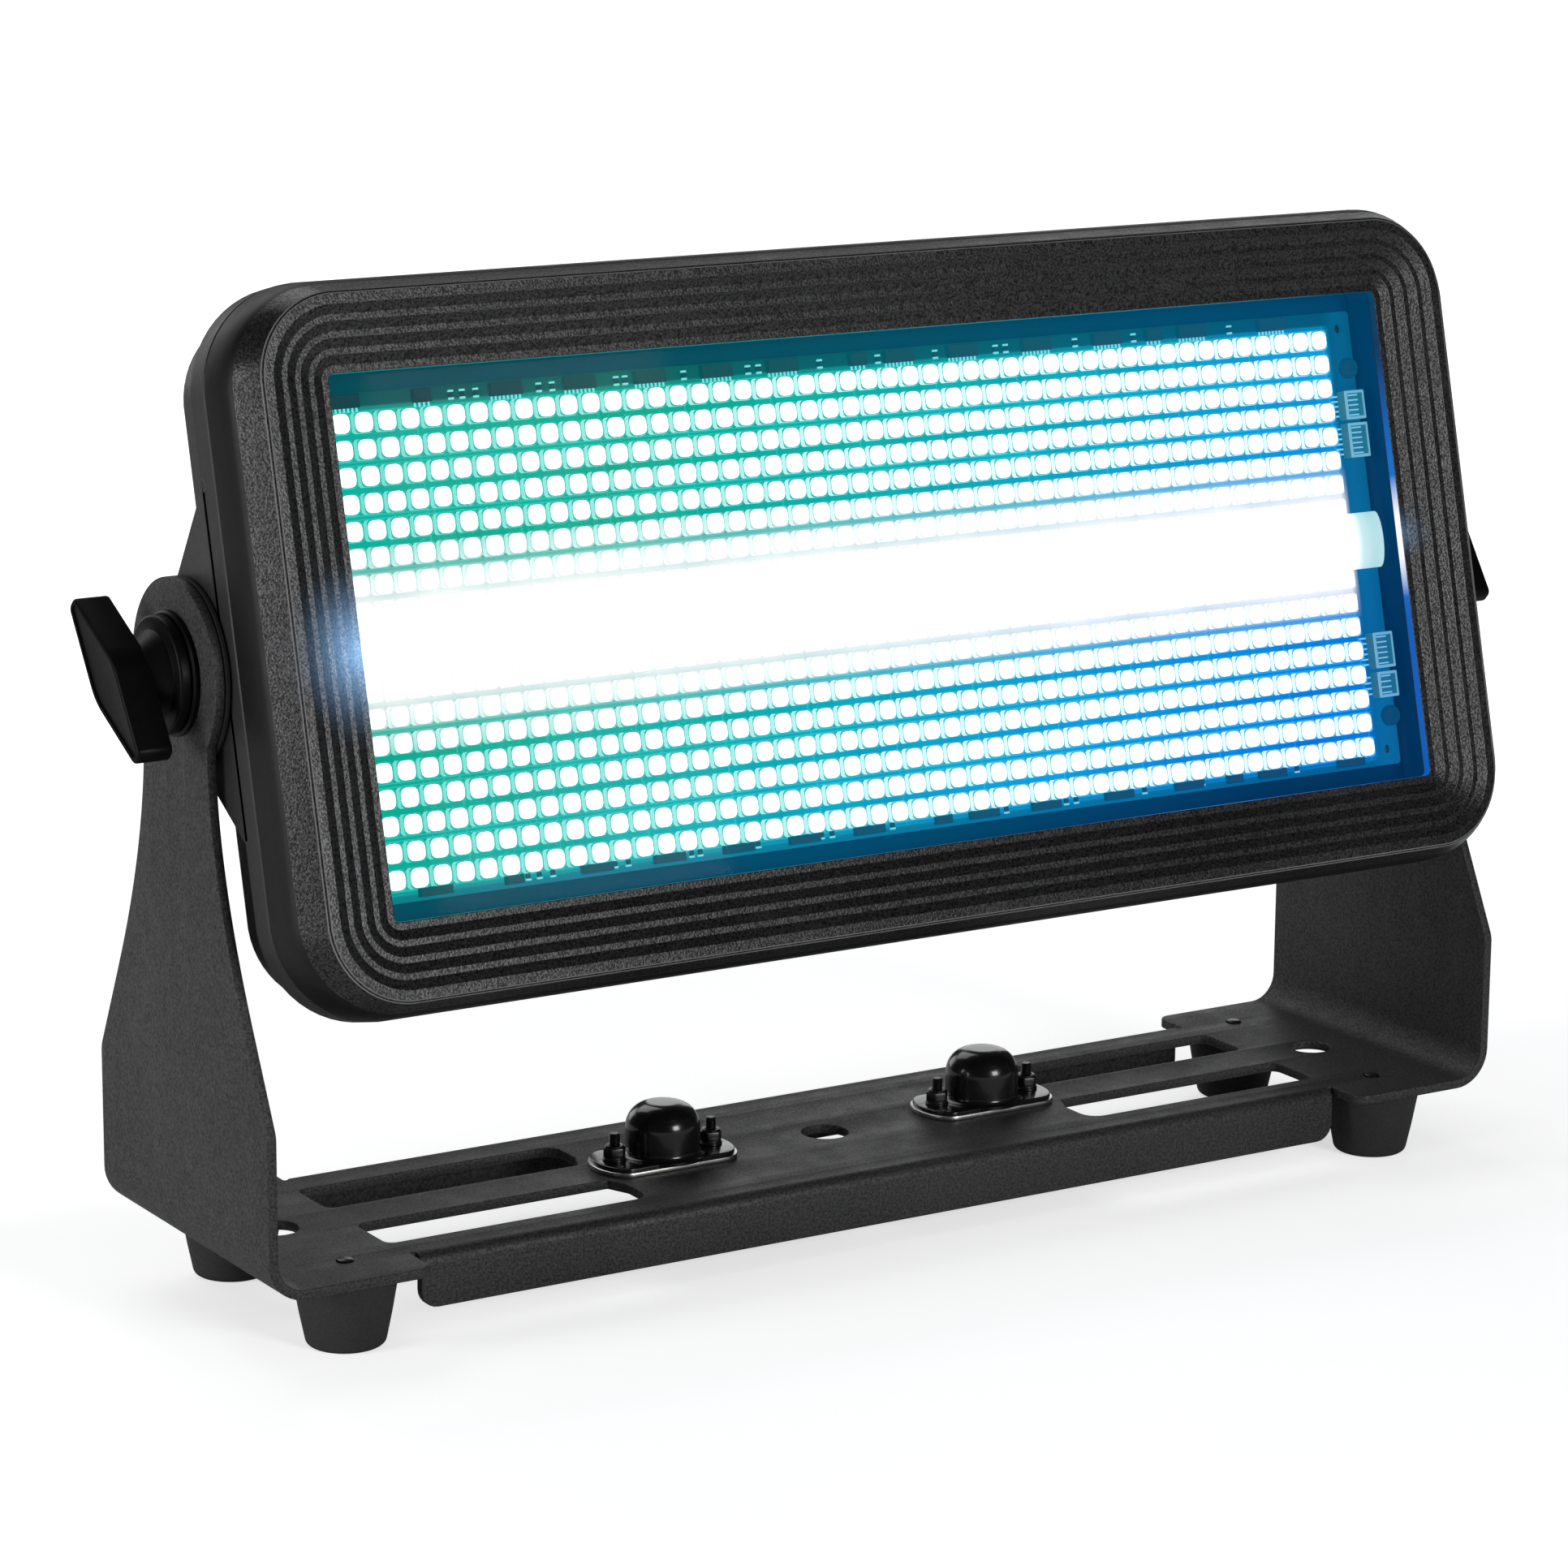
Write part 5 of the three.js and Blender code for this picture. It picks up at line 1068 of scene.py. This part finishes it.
def bezelRows(s):
    def at(outward, level):
        return s["window"][0] + outward, s["window"][1] + outward, s["windowCorner"] + outward, level

    # the edge strips take a painted highlight, and the lip takes the diodes' painted glow
    grained, side, edge, lip = range(4)
    rows = [(at(0, s["lipFront"] - 0.15), grained), (at(0.15, s["lipFront"]), grained),
            (at(s["innerFlat"], s["lipFront"]), grained)]
    outward = s["innerFlat"]
    level = s["lipFront"]
    for ridge in range(s["ridges"]):
        outward += s["wallRun"]
        level += s["rise"]
        rows.append((at(outward, level), grained))
        outward += s["flat"] if ridge < s["ridges"] - 1 else s["rimFlat"]
        if ridge < s["ridges"] - 1:
            rows.append((at(outward, level), grained))
    # the rim ends in a double bead; its two thin strips catch the light and carry a painted highlight as well
    rows += [(at(outward - 0.35, level), edge), (at(outward - 0.1, level - 0.08), grained),
             (at(outward + 0.25, level - 0.35), edge), (at(outward + 0.5, level - 0.62), grained)]
    creaseIn, creaseLevel = s["crease"]
    behindLip = s["lipFront"] - s["lipThickness"]
    rows += [(seamRow(setIn, height), side)
             for setIn, height in ((creaseIn + 0.25, creaseLevel + 0.5), (creaseIn - 0.2, creaseLevel - 0.4),
                                   (1.0, 6.3), (0.45, 2.5), (0.1, -1.2))]
    # the thin strip at the seam carries the same painted highlight
    rows += [(seamRow(0.0, -s["seam"] + 0.4), edge), (seamRow(0.3, -s["seam"]), side),
             (seamRow(s["wall"], -s["seam"]), side), (seamRow(s["wall"] + creaseIn, creaseLevel - s["wall"]), side),
             (at(outward - s["flat"], level - s["wall"]), side),
             (at(outward - s["rimFlat"] - s["wallRun"], level - s["wall"]), side),
             (at(s["shelf"], behindLip), side), (at(0, behindLip), lip)]
    return rows


bezelStrips = bezelRows(bezelSizes)
finishOnHead("frontBezel", sweptFrame([row for row, _ in bezelStrips], 14, [slot for _, slot in bezelStrips]),
             ["bezelPlastic", "bezelSide", "bezelEdgePaintedHighlight", "litLip"], ["front_bezel"], bevel=(0.12, 2), smooth=14)
print("bezel is moulded")


# ---- window: gasket, glass and the dark tray round the board

windowSizes = {
    "overlap": 4.0, "glassFront": 6.55, "glass": 2.5, "gasketFront": 7.45, "gasket": 0.6,
    # how far the gasket's sides stand out from the window, and their corners
    "gasketSides": ((0.6, 2.1), (3.4, 4.9)),
    "tray": (1.2, 2), "trayHole": (152.9, 59.8, 1), "trayFront": -2.2, "trayBack": -3.5,
    # outward from the window, corner and level, round the wall's section
    "trayWall": ((3.0, 3.5, 3.7), (3.8, 4.0, 3.7), (3.8, 4.0, -3.4), (1.0, 2.0, -3.4), (1.0, 2.0, -2.6)),
}


def windowPieces(s):
    halfWidth, halfHeight = bezelSizes["window"]

    def roundWindow(outward, radius, *level):
        return halfWidth + outward, halfHeight + outward, radius, *level

    inner, outer = s["gasketSides"]
    front = s["gasketFront"]
    back = front - s["gasket"]
    gasket = [roundWindow(*inner, front), roundWindow(*outer, front), roundWindow(*outer, back),
              roundWindow(*inner, back)]
    finishOnHead("windowGasket", sweptFrame(gasket, 8), "padRubber", ["window_gasket"])
    pane = plateShape(roundRect(*roundWindow(s["overlap"], 4)), [], s["glassFront"] - s["glass"], s["glassFront"])
    finishOnHead("windowPane", pane, "windowGlass", ["window_glass"])
    # a shallow tray hides the housing's inside between the glass and the board; it and its wall carry the diodes'
    # painted glow
    tray = plateShape(roundRect(*roundWindow(*s["tray"])), [roundRect(*s["trayHole"])], s["trayBack"], s["trayFront"],
                      0.2)
    finishOnHead("boardTray", tray, "innerWall")
    finishOnHead("trayWall", sweptFrame([roundWindow(*row) for row in s["trayWall"]], 8), "innerWall")


windowPieces(windowSizes)


# ---- LED board: its diodes, lenses and pads, the board, its driver chips, plugs and screws

ledSizes = {
    "pitch": (6.12, 6.35), "columns": 48, "rows": 8, "shift": (-2.5, -0.88), "bankShift": 31.56, "size": 5.0,
    "packageCorner": 0.55, "rim": 0.15, "sink": 0.02, "top": 0.0, "bottom": -1.9,
    "lens": (4.6, 4.6, 0.12), "lensCorner": 1.5, "lensLift": 0.02,
    "pad": (0.42, 0.75, 0.1), "padRows": (-1.6, 0.0, 1.6), "padReach": 0.2, "padLift": 0.06,
}


def ledPlaces(s, bank):
    for row in range(s["rows"]):
        v = s["shift"][1] + bank * s["bankShift"] + (row - (s["rows"] - 1) / 2) * s["pitch"][1]
        for column in range(s["columns"]):
            x = s["shift"][0] + (column - (s["columns"] - 1) / 2) * s["pitch"][0]
            yield Matrix.Translation((x, v, 0))


def diodeShape(s):
    # a square package with cut corners; its lit top is sunk a little inside a rim
    bm = boxShape(s["size"], s["size"], s["top"] - s["bottom"], (0, 0, (s["top"] + s["bottom"]) / 2))
    easeEdges(bm, uprightEdges(bm), s["packageCorner"], 1)
    bottom = min(bm.faces, key=lambda face: face.calc_center_median().z)
    bmesh.ops.delete(bm, geom=[bottom], context="FACES_ONLY")
    top = max(bm.faces, key=lambda face: face.calc_center_median().z)
    bmesh.ops.inset_region(bm, faces=[top], thickness=s["rim"], depth=0, use_even_offset=True)
    bmesh.ops.translate(bm, verts=top.verts, vec=(0, 0, -s["sink"]))
    for face in bm.faces:
        face.material_index = 1 if abs(face.normal.z) < 0.5 else 0
    return bm


def lensShape(s):
    # the lit field of a diode: nearly as wide as its package, with wide round corners
    bm = boxShape(*s["lens"], (0, 0, s["top"] + s["lensLift"]))
    easeEdges(bm, uprightEdges(bm), s["lensCorner"], 3)
    return bm


def padShape(s):
    bm = bmesh.new()
    for _, side in sides:
        for rise in s["padRows"]:
            spot = (side * (s["size"] / 2 + s["padReach"]), rise, s["bottom"] + s["padLift"])
            addInto(bm, boxShape(*s["pad"], spot))
    return bm


def diodeBank(s, name, bank):
    for kind, shape, looks, stands in (("diodes", diodeShape, ["ledBody", "ledSide"], [f"led_bank_{name}"]),
                                       ("lenses", lensShape, "ledLens", ()), ("pads", padShape, "solderPad", ())):
        finishOnHead(f"{kind}_{name}", copies(shape(s), ledPlaces(s, bank)), looks, stands, smooth=20, weld=0)


diodeBank(ledSizes, "upper", 1)
diodeBank(ledSizes, "lower", -1)

boardSizes = {
    "outline": (153.3, 60.15, 1), "front": -1.9, "back": -3.5,
    "holes": ((1.3, 149.6, 55.7, 16), (1.3, 149.8, -56.0, 16)),
    "screws": ((150.9, 45.1), (151.3, -47.3)),
}
board = plateShape(roundRect(*boardSizes["outline"]), [roundHole(*hole) for hole in boardSizes["holes"]],
                   boardSizes["back"], boardSizes["front"], 0.1)
finishOnHead("ledBoardPlate", board, "ledBoard", ["led_board"])

driverSizes = {
    # width, count of pins, and places along the board's edge in column pitches from the left end of the grid
    "chips": ((8.8, 8, (0.75, 7.9, 11.2, 14.4, 17.5, 20.6, 26.2, 29.3, 33.0, 36.6, 41.0, 45.2)),
              (4.9, 4, (4.2, 24.2, 39.0))),
    "parts": (5.5, 6.0, 6.6, 9.4, 10.0, 12.9, 13.3, 16.0, 19.0, 19.5, 22.4, 25.2, 28.0, 31.0, 31.5, 35.0, 38.0, 43.0),
    # up or down, middle line, chips' height, and how far the chips and the small parts are shifted along the edge
    "edges": ((1, 57.55, 3.3, 0, 0), (-1, -57.6, 2.2, 9, 5)),
    "rightmost": 144,
    "chipHeight": 1.4, "chipLevel": -1.2, "chipInset": 0.6, "chipEdge": 0.15, "pin": (0.45, 1.1, 0.3), "pinReach": 0.45,
    "part": (1.2, 2.0, 0.6), "partInset": 0.2, "partEdge": 0.1, "cap": (1.3, 0.5, 0.65), "capReach": 0.9, "low": -1.6,
}


def driverChips(s):
    chips = bmesh.new()
    pins = bmesh.new()
    pitch = ledSizes["pitch"][0]
    left = ledSizes["shift"][0] - ledSizes["columns"] / 2 * pitch
    for sign, line, height, chipShift, partShift in s["edges"]:
        middle = line + sign * s["chipInset"]
        inward = line + sign * (s["chipInset"] - height / 2 - s["pinReach"])
        for width, count, columns in s["chips"]:
            for x in [left + column * pitch + chipShift for column in columns]:
                if x > s["rightmost"]:
                    continue
                addInto(chips, easedBox(width, height, s["chipHeight"], (x, middle, s["chipLevel"]), s["chipEdge"], 1))
                for i in range(count):
                    along = x + (i - (count - 1) / 2) * width / count
                    addInto(pins, boxShape(*s["pin"], (along, inward, s["low"])))
        middle = line + sign * s["partInset"]
        for x in [left + column * pitch + partShift for column in s["parts"]]:
            addInto(chips, easedBox(*s["part"], (x, middle, s["low"]), s["partEdge"], 1))
            for _, end in ends:
                addInto(pins, boxShape(*s["cap"], (x, middle + end * s["capReach"], s["low"])))
    finishOnHead("driverChips", chips, "chipBody", smooth=20, weld=0)
    finishOnHead("driverPins", pins, "chipPin", smooth=20, weld=0)


driverChips(driverSizes)

plugSizes = {
    "right": 152.5, "depth": 6.4, "height": 3.6, "wall": 0.5, "seat": -1.6, "well": 2.2, "edge": 0.25,
    "tongue": (0.9, 3.0), "tongueGap": 0.8, "tongueEdge": 0.2,
    # the row of contacts ends this much short; their sizes before and in the well
    "contactGap": 2.4, "before": (2.0, 0.45, 0.4), "within": (3.0, 0.35, 0.4),
    # middle up the board, length and count of contacts
    "rows": ((35.2, 7.6, 5), (25.9, 9.1, 6), (-29.8, 9.4, 6), (-38.9, 6.8, 4)),
}


def boardPlug(s, number, middle, length, contacts):
    x = s["right"] - s["depth"] / 2
    left = s["right"] - s["depth"]
    shell = easedBox(s["depth"], length, s["height"], (x, middle, s["seat"] + s["height"] / 2), s["edge"])
    top = max(shell.faces, key=lambda face: face.calc_area() if face.calc_center_median().z > 1.5 else 0)
    bmesh.ops.inset_region(shell, faces=[top], thickness=s["wall"], depth=0, use_even_offset=True)
    drawOut(shell, top, (0, 0, -s["well"]))
    bmesh.ops.delete(shell, geom=[top], context="FACES_ONLY")
    high = max(face.calc_center_median().z for face in shell.faces)
    for face in shell.faces:
        face.material_index = 1 if face.calc_center_median().z > high - 0.2 else 0
    tongueWidth, tongueHeight = s["tongue"]
    tongue = easedBox(tongueWidth, length - s["tongueGap"], tongueHeight, (left + 0.5, middle, 0.0), s["tongueEdge"])
    for face in tongue.faces:
        face.material_index = 1
    finishOnHead(f"boardPlug_{number}", addInto(shell, tongue), ["connectorNylon", "connectorRim"],
                 [f"board_connector_{number}"], smooth=30)
    pins = bmesh.new()
    for i in range(contacts):
        v = middle + (i - (contacts - 1) / 2) * (length - s["contactGap"]) / (contacts - 1)
        addInto(pins, boxShape(*s["before"], (left - 1.0, v, -1.5)))
        addInto(pins, boxShape(*s["within"], (x + 0.4, v, 0.5)))
    finishOnHead(f"plugContacts_{number}", pins, "chipPin", smooth=20, weld=0)


for number, row in enumerate(plugSizes["rows"], 1):
    boardPlug(plugSizes, number, *row)

boardScrews = bmesh.new()
for x, v in boardSizes["screws"]:
    screw = turnedShape([(0, -0.8), (0.9, -0.8), (1.1, -0.3), (2.0, -0.3), (2.7, -0.8), (2.8, -1.5), (2.8, -1.9),
                         (0, -1.9)], 28)
    addInto(boardScrews, moved(screw, Matrix.Translation((x, v, 0))))
finishOnHead("boardScrews", boardScrews, "chipBody", smooth=30)


# ---- white strobe bar and its long lens

barSizes = {"halfLength": 152.2, "halfHeight": 7.4, "foot": 0.3, "spring": 1.1, "rise": 2.5, "shift": -0.6,
            "strip": (11.2, 1.4), "stripMiddle": -0.9}


def strobeBar(s):
    width, height = s["strip"]
    strip = boxShape(2 * s["halfLength"], width, height, (0, s["shift"], s["stripMiddle"]))
    finishOnHead("strobeStrip", strip, "barDiffuser", ["white_led_bar"], bevel=(0.2, 2))
    half = s["halfHeight"]
    points = [(-half, s["foot"]), (-half, s["spring"])]
    points += [(half * -cos(angle), s["spring"] + s["rise"] * sin(angle))
               for angle in [pi * i / 24 for i in range(1, 24)]]
    points += [(half, s["spring"]), (half, s["foot"])]
    bm = bmesh.new()
    face = bm.faces.new([bm.verts.new((-s["halfLength"], s["shift"] + y, z)) for y, z in points])
    drawOut(bm, face, (2 * s["halfLength"], 0, 0))
    finishOnHead("strobeLens", bm, "barDiffuser", ["bar_lens"], bevel=(0.35, 3), smooth=40)


strobeBar(barSizes)
print("LED board is fitted")


# ---- rear shell with its side bosses and the inserts in them

shellSizes = {
    "front": -3.75, "bandBack": -11.6, "setIn": 4.5, "bodyCorner": 21.5, "back": -27.0, "edge": 2.5, "wall": 2.5,
    "opening": (143.5, 63.5, 6.8), "bossHalf": 41.6, "bossRadius": 18.9, "bossLength": 30.0, "bossHole": 7.3,
    "bossTurn": radians(18), "bossRoot": 2.5, "sidePlug": (42.0, -9.6),
}


def rearShell(s):
    corner, body, setIn, wall = bezelSizes["seamCorner"], s["bodyCorner"], s["setIn"], s["wall"]
    rows = [seamRow(0.3, s["front"]), seamRow(0, s["front"] - 0.35), seamRow(0, s["bandBack"] + 0.8),
            seamRow(0.8, s["bandBack"]), seamRow(setIn - 0.3, s["bandBack"] - 0.5, body),
            seamRow(setIn, s["bandBack"] - 1.0, body)]
    for angle in [pi / 2 * i / 6 for i in range(7)]:
        inset = s["edge"] * (1 - cos(angle))
        rows.append(seamRow(setIn + inset, s["back"] + s["edge"] - s["edge"] * sin(angle), body - inset))
    rows += [(*s["opening"], s["back"]), (*s["opening"], s["back"] + wall),
             seamRow(setIn + wall, s["back"] + wall, body - wall), seamRow(setIn + wall, s["bandBack"], body - wall),
             seamRow(wall, s["bandBack"] + wall, corner - wall), seamRow(wall, s["front"], corner - wall)]
    shell = sweptFrame(rows, 14)
    behind = -place["pivotBehindLeds"]
    root = s["bandBack"] + s["bossRoot"]
    outline = [(s["bossHalf"], root), (s["bossHalf"], s["bandBack"])]
    outline += arcPoints(0, behind, s["bossRadius"], -s["bossTurn"], s["bossTurn"] - pi, 36)
    outline += [(-s["bossHalf"], s["bandBack"]), (-s["bossHalf"], root)]
    for _, sign in sides:
        boss = plateShape(outline, [roundHole(s["bossHole"], 0, behind, 40)], place["headSide"] - s["bossLength"],
                          place["headSide"], 0.5, 3)
        # the plate's X goes up the face and its Y out of it
        addInto(shell, moved(boss, Matrix(((0, 0, sign, 0), (1, 0, 0, 0), (0, 1, 0, 0), (0, 0, 0, 1)))))
    finishOnHead("rearShell_moulded", shell, "shellPlastic", ["rear_shell"], smooth=30)
    for sideName, sign in sides:
        plug = turnedShape([(0, -0.02), (1.0, -0.02), (1.15, 0.06), (1.5, 0.06), (1.6, -0.02), (1.6, -0.6),
                            (0, -0.6)], 24)
        spot = Matrix.Translation((sign * place["headSide"], *s["sidePlug"])) @ layAlongX(sign)
        finishOnHead(f"sidePlug_{sideName}", moved(plug, spot), "socketBlack", smooth=30)
    for sideName, sign in sides:
        collar = turnedShape([(4.3, 164.9), (6.7, 164.9), (7.0, 165.2), (7.0, 178.0), (6.7, 178.3), (4.7, 178.3),
                              (4.3, 177.9), (4.3, 164.9)], 40)
        finishOnHead(f"pivotInsert_{sideName}_turned", moved(collar, layAlongX(sign, behind)), "insertBrass",
                     [f"pivot_insert_{sideName}"])


rearShell(shellSizes)
print("rear shell is closed")


# ---- rear: cover, fan, control panel, sockets and eye

easedNodes = {
    # piece: (CAD solid, finish, body, edge width and segments, smoothing angle)
    "rearCover": ("rear_cover", "powderCoat", "head", None, 25),
    "controlPanel": ("control_panel", "domeEnamel", "head", (0.25, 2), 25),
    "fanFrame": ("fan_frame", "socketBlack", "head", (0.25, 2), 25),
    "fanRotor": ("fan_rotor", "socketBlack", "fan", (0.2, 2), 25),
    "heatSink": ("heat_sink", "sinkAluminium", "head", (0.15, 1), 25),
    "powerSupply": ("power_supply", "brightSteel", "head", (0.3, 2), 25),
    "fuseHolder": ("fuse_holder", "socketBlack", "head", (0.25, 2), 25),
    "display": ("display", "displayGlass", "head", (0.3, 2), 25),
    "controlBoard": ("control_board", "circuitGreen", "head", (0.15, 1), 25),
    "safetyEye": ("safety_eye", "blackSteel", "head", (0.1, 1), 50),
    "power_inlet": ("power_inlet", "inletBlue", "head", (0.25, 2), 25),
    "power_outlet": ("power_outlet", "outletGrey", "head", (0.25, 2), 25),
    "data_inlet": ("data_inlet", "blackSteel", "head", (0.25, 2), 25),
    "data_outlet": ("data_outlet", "blackSteel", "head", (0.25, 2), 25),
}
for i in range(1, 5):
    easedNodes[f"menuButton_{i}"] = (f"menu_button_{i}", "buttonRubber", f"button_{i}", (0.3, 2), 40)
for name, (node, look, body, bevel, smooth) in easedNodes.items():
    # the CAD solid itself with its flat faces joined and its edges eased
    bm = bmesh.new()
    bm.from_mesh(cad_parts[node].data)
    bmesh.ops.remove_doubles(bm, verts=bm.verts, dist=0.00001)
    bmesh.ops.dissolve_limit(bm, angle_limit=radians(1), verts=bm.verts, edges=bm.edges)
    finishPiece(f"{name}_eased", bm, look, body, Matrix.Identity(4), [node], bevel, smooth, weld=0)

rearSizes = {
    "power": (-118.0, -84.0), "dataIn": 72.0, "dataOut": 106.0, "socketRow": -42.0, "flangeBack": -64.6,
    "wellFloor": -50.6, "insertBack": -63.6, "contactRing": 4.0, "bladeRing": 7.0, "blade": (0.8, 3.2),
    "bladeSunk": 4.5, "bladeEdge": 0.2, "bladeTurn": 0.4, "latch": (5.6, 3.0, 1.2), "latchPlace": (0, -11.6, 0.4),
    "flangeScrew": (9.9, 12.2), "smallScrew": 1.9, "largeScrew": 2.7, "coverBack": -62.3, "panelBack": -64.1,
    "coverScrews": ((-137.5, 57.5), (137.5, 57.5), (-137.5, -57.5), (137.5, -57.5), (0.0, -57.5)),
    "panelScrews": ((45.5, 46.0), (130.5, 46.0), (45.5, -2.0), (130.5, -2.0)),
}


def backward(x, v, level):
    # a place on the rear, with Z pointing out of the cover
    return Matrix.Translation((x, v, level)) @ Matrix.Rotation(pi, 4, "X")


def screwHead(radius):
    # a domed head with a recess for the driver
    return turnedShape([(0, 0.3), (0.3 * radius, 0.35), (0.4 * radius, 1.0), (0.6 * radius, 1.1),
                        (0.85 * radius, 0.8), (radius, 0.25), (radius, -0.2), (0, -0.2)], 20)


def rearScrews(s):
    asideX, asideV = s["flangeScrew"]
    small = [backward(middle + sign * asideX, s["socketRow"] + sign * asideV, s["flangeBack"])
             for middle in (*s["power"], s["dataIn"], s["dataOut"]) for _, sign in sides]
    small += [backward(x, v, s["panelBack"]) for x, v in s["panelScrews"]]
    finishOnHead("socketScrews", copies(screwHead(s["smallScrew"]), small), "brightSteel", smooth=30, weld=0)
    large = [backward(x, v, s["coverBack"]) for x, v in s["coverScrews"]]
    finishOnHead("coverScrews", copies(screwHead(s["largeScrew"]), large), "blackSteel", smooth=30, weld=0)


def socketContacts(s):
    deep = s["wellFloor"] - s["flangeBack"]
    reach = deep - s["bladeSunk"]
    for number, x in enumerate(s["power"], 1):
        # the middle core of a twist-lock power socket, with three contact blades round it
        well = backward(x, s["socketRow"], s["wellFloor"])
        core = turnedShape([(0, deep - 3.4), (2.6, deep - 3.4), (2.9, deep - 2.6), (4.8, deep - 2.6),
                            (5.3, deep - 3.0), (5.3, 0.2), (0, 0.2)], 32)
        finishOnHead(f"powerCore_{number}", moved(core, well), "socketBlack")
        blades = bmesh.new()
        for turn in range(3):
            blade = easedBox(*s["blade"], reach, (s["bladeRing"], 0, reach / 2), s["bladeEdge"])
            addInto(blades, moved(blade, Matrix.Rotation(2 * pi * turn / 3 + s["bladeTurn"], 4, "Z")))
        finishOnHead(f"powerBlades_{number}", moved(blades, well), "contactGold")
    ring = [Matrix.Translation((s["contactRing"] * cos(angle), s["contactRing"] * sin(angle), 0))
            for angle in [2 * pi * turn / 3 + pi / 2 for turn in range(3)]]
    pin = turnedShape([(0, deep - 4.0), (0.6, deep - 4.1), (1.1, deep - 4.9), (1.1, 0), (0, 0)], 16)
    pins = moved(copies(pin, ring), backward(s["dataIn"], s["socketRow"], s["wellFloor"]))
    finishOnHead("dataPins", pins, "brightSteel", weld=0)
    cup = turnedShape([(0, -0.1), (0.9, -0.1), (0.95, 0.1), (1.5, 0.1), (1.6, 0), (1.6, -0.2), (0, -0.2)], 20)
    cups = moved(copies(cup, ring), backward(s["dataOut"], s["socketRow"], s["insertBack"]))
    finishOnHead("dataCups", cups, "contactGold", weld=0)
    latch = easedBox(*s["latch"], s["latchPlace"], 0.35)
    latch = moved(latch, backward(s["dataOut"], s["socketRow"], s["flangeBack"]))
    finishOnHead("dataLatch", latch, "brightSteel", smooth=30)


rearScrews(rearSizes)
socketContacts(rearSizes)
print("rear is dressed")
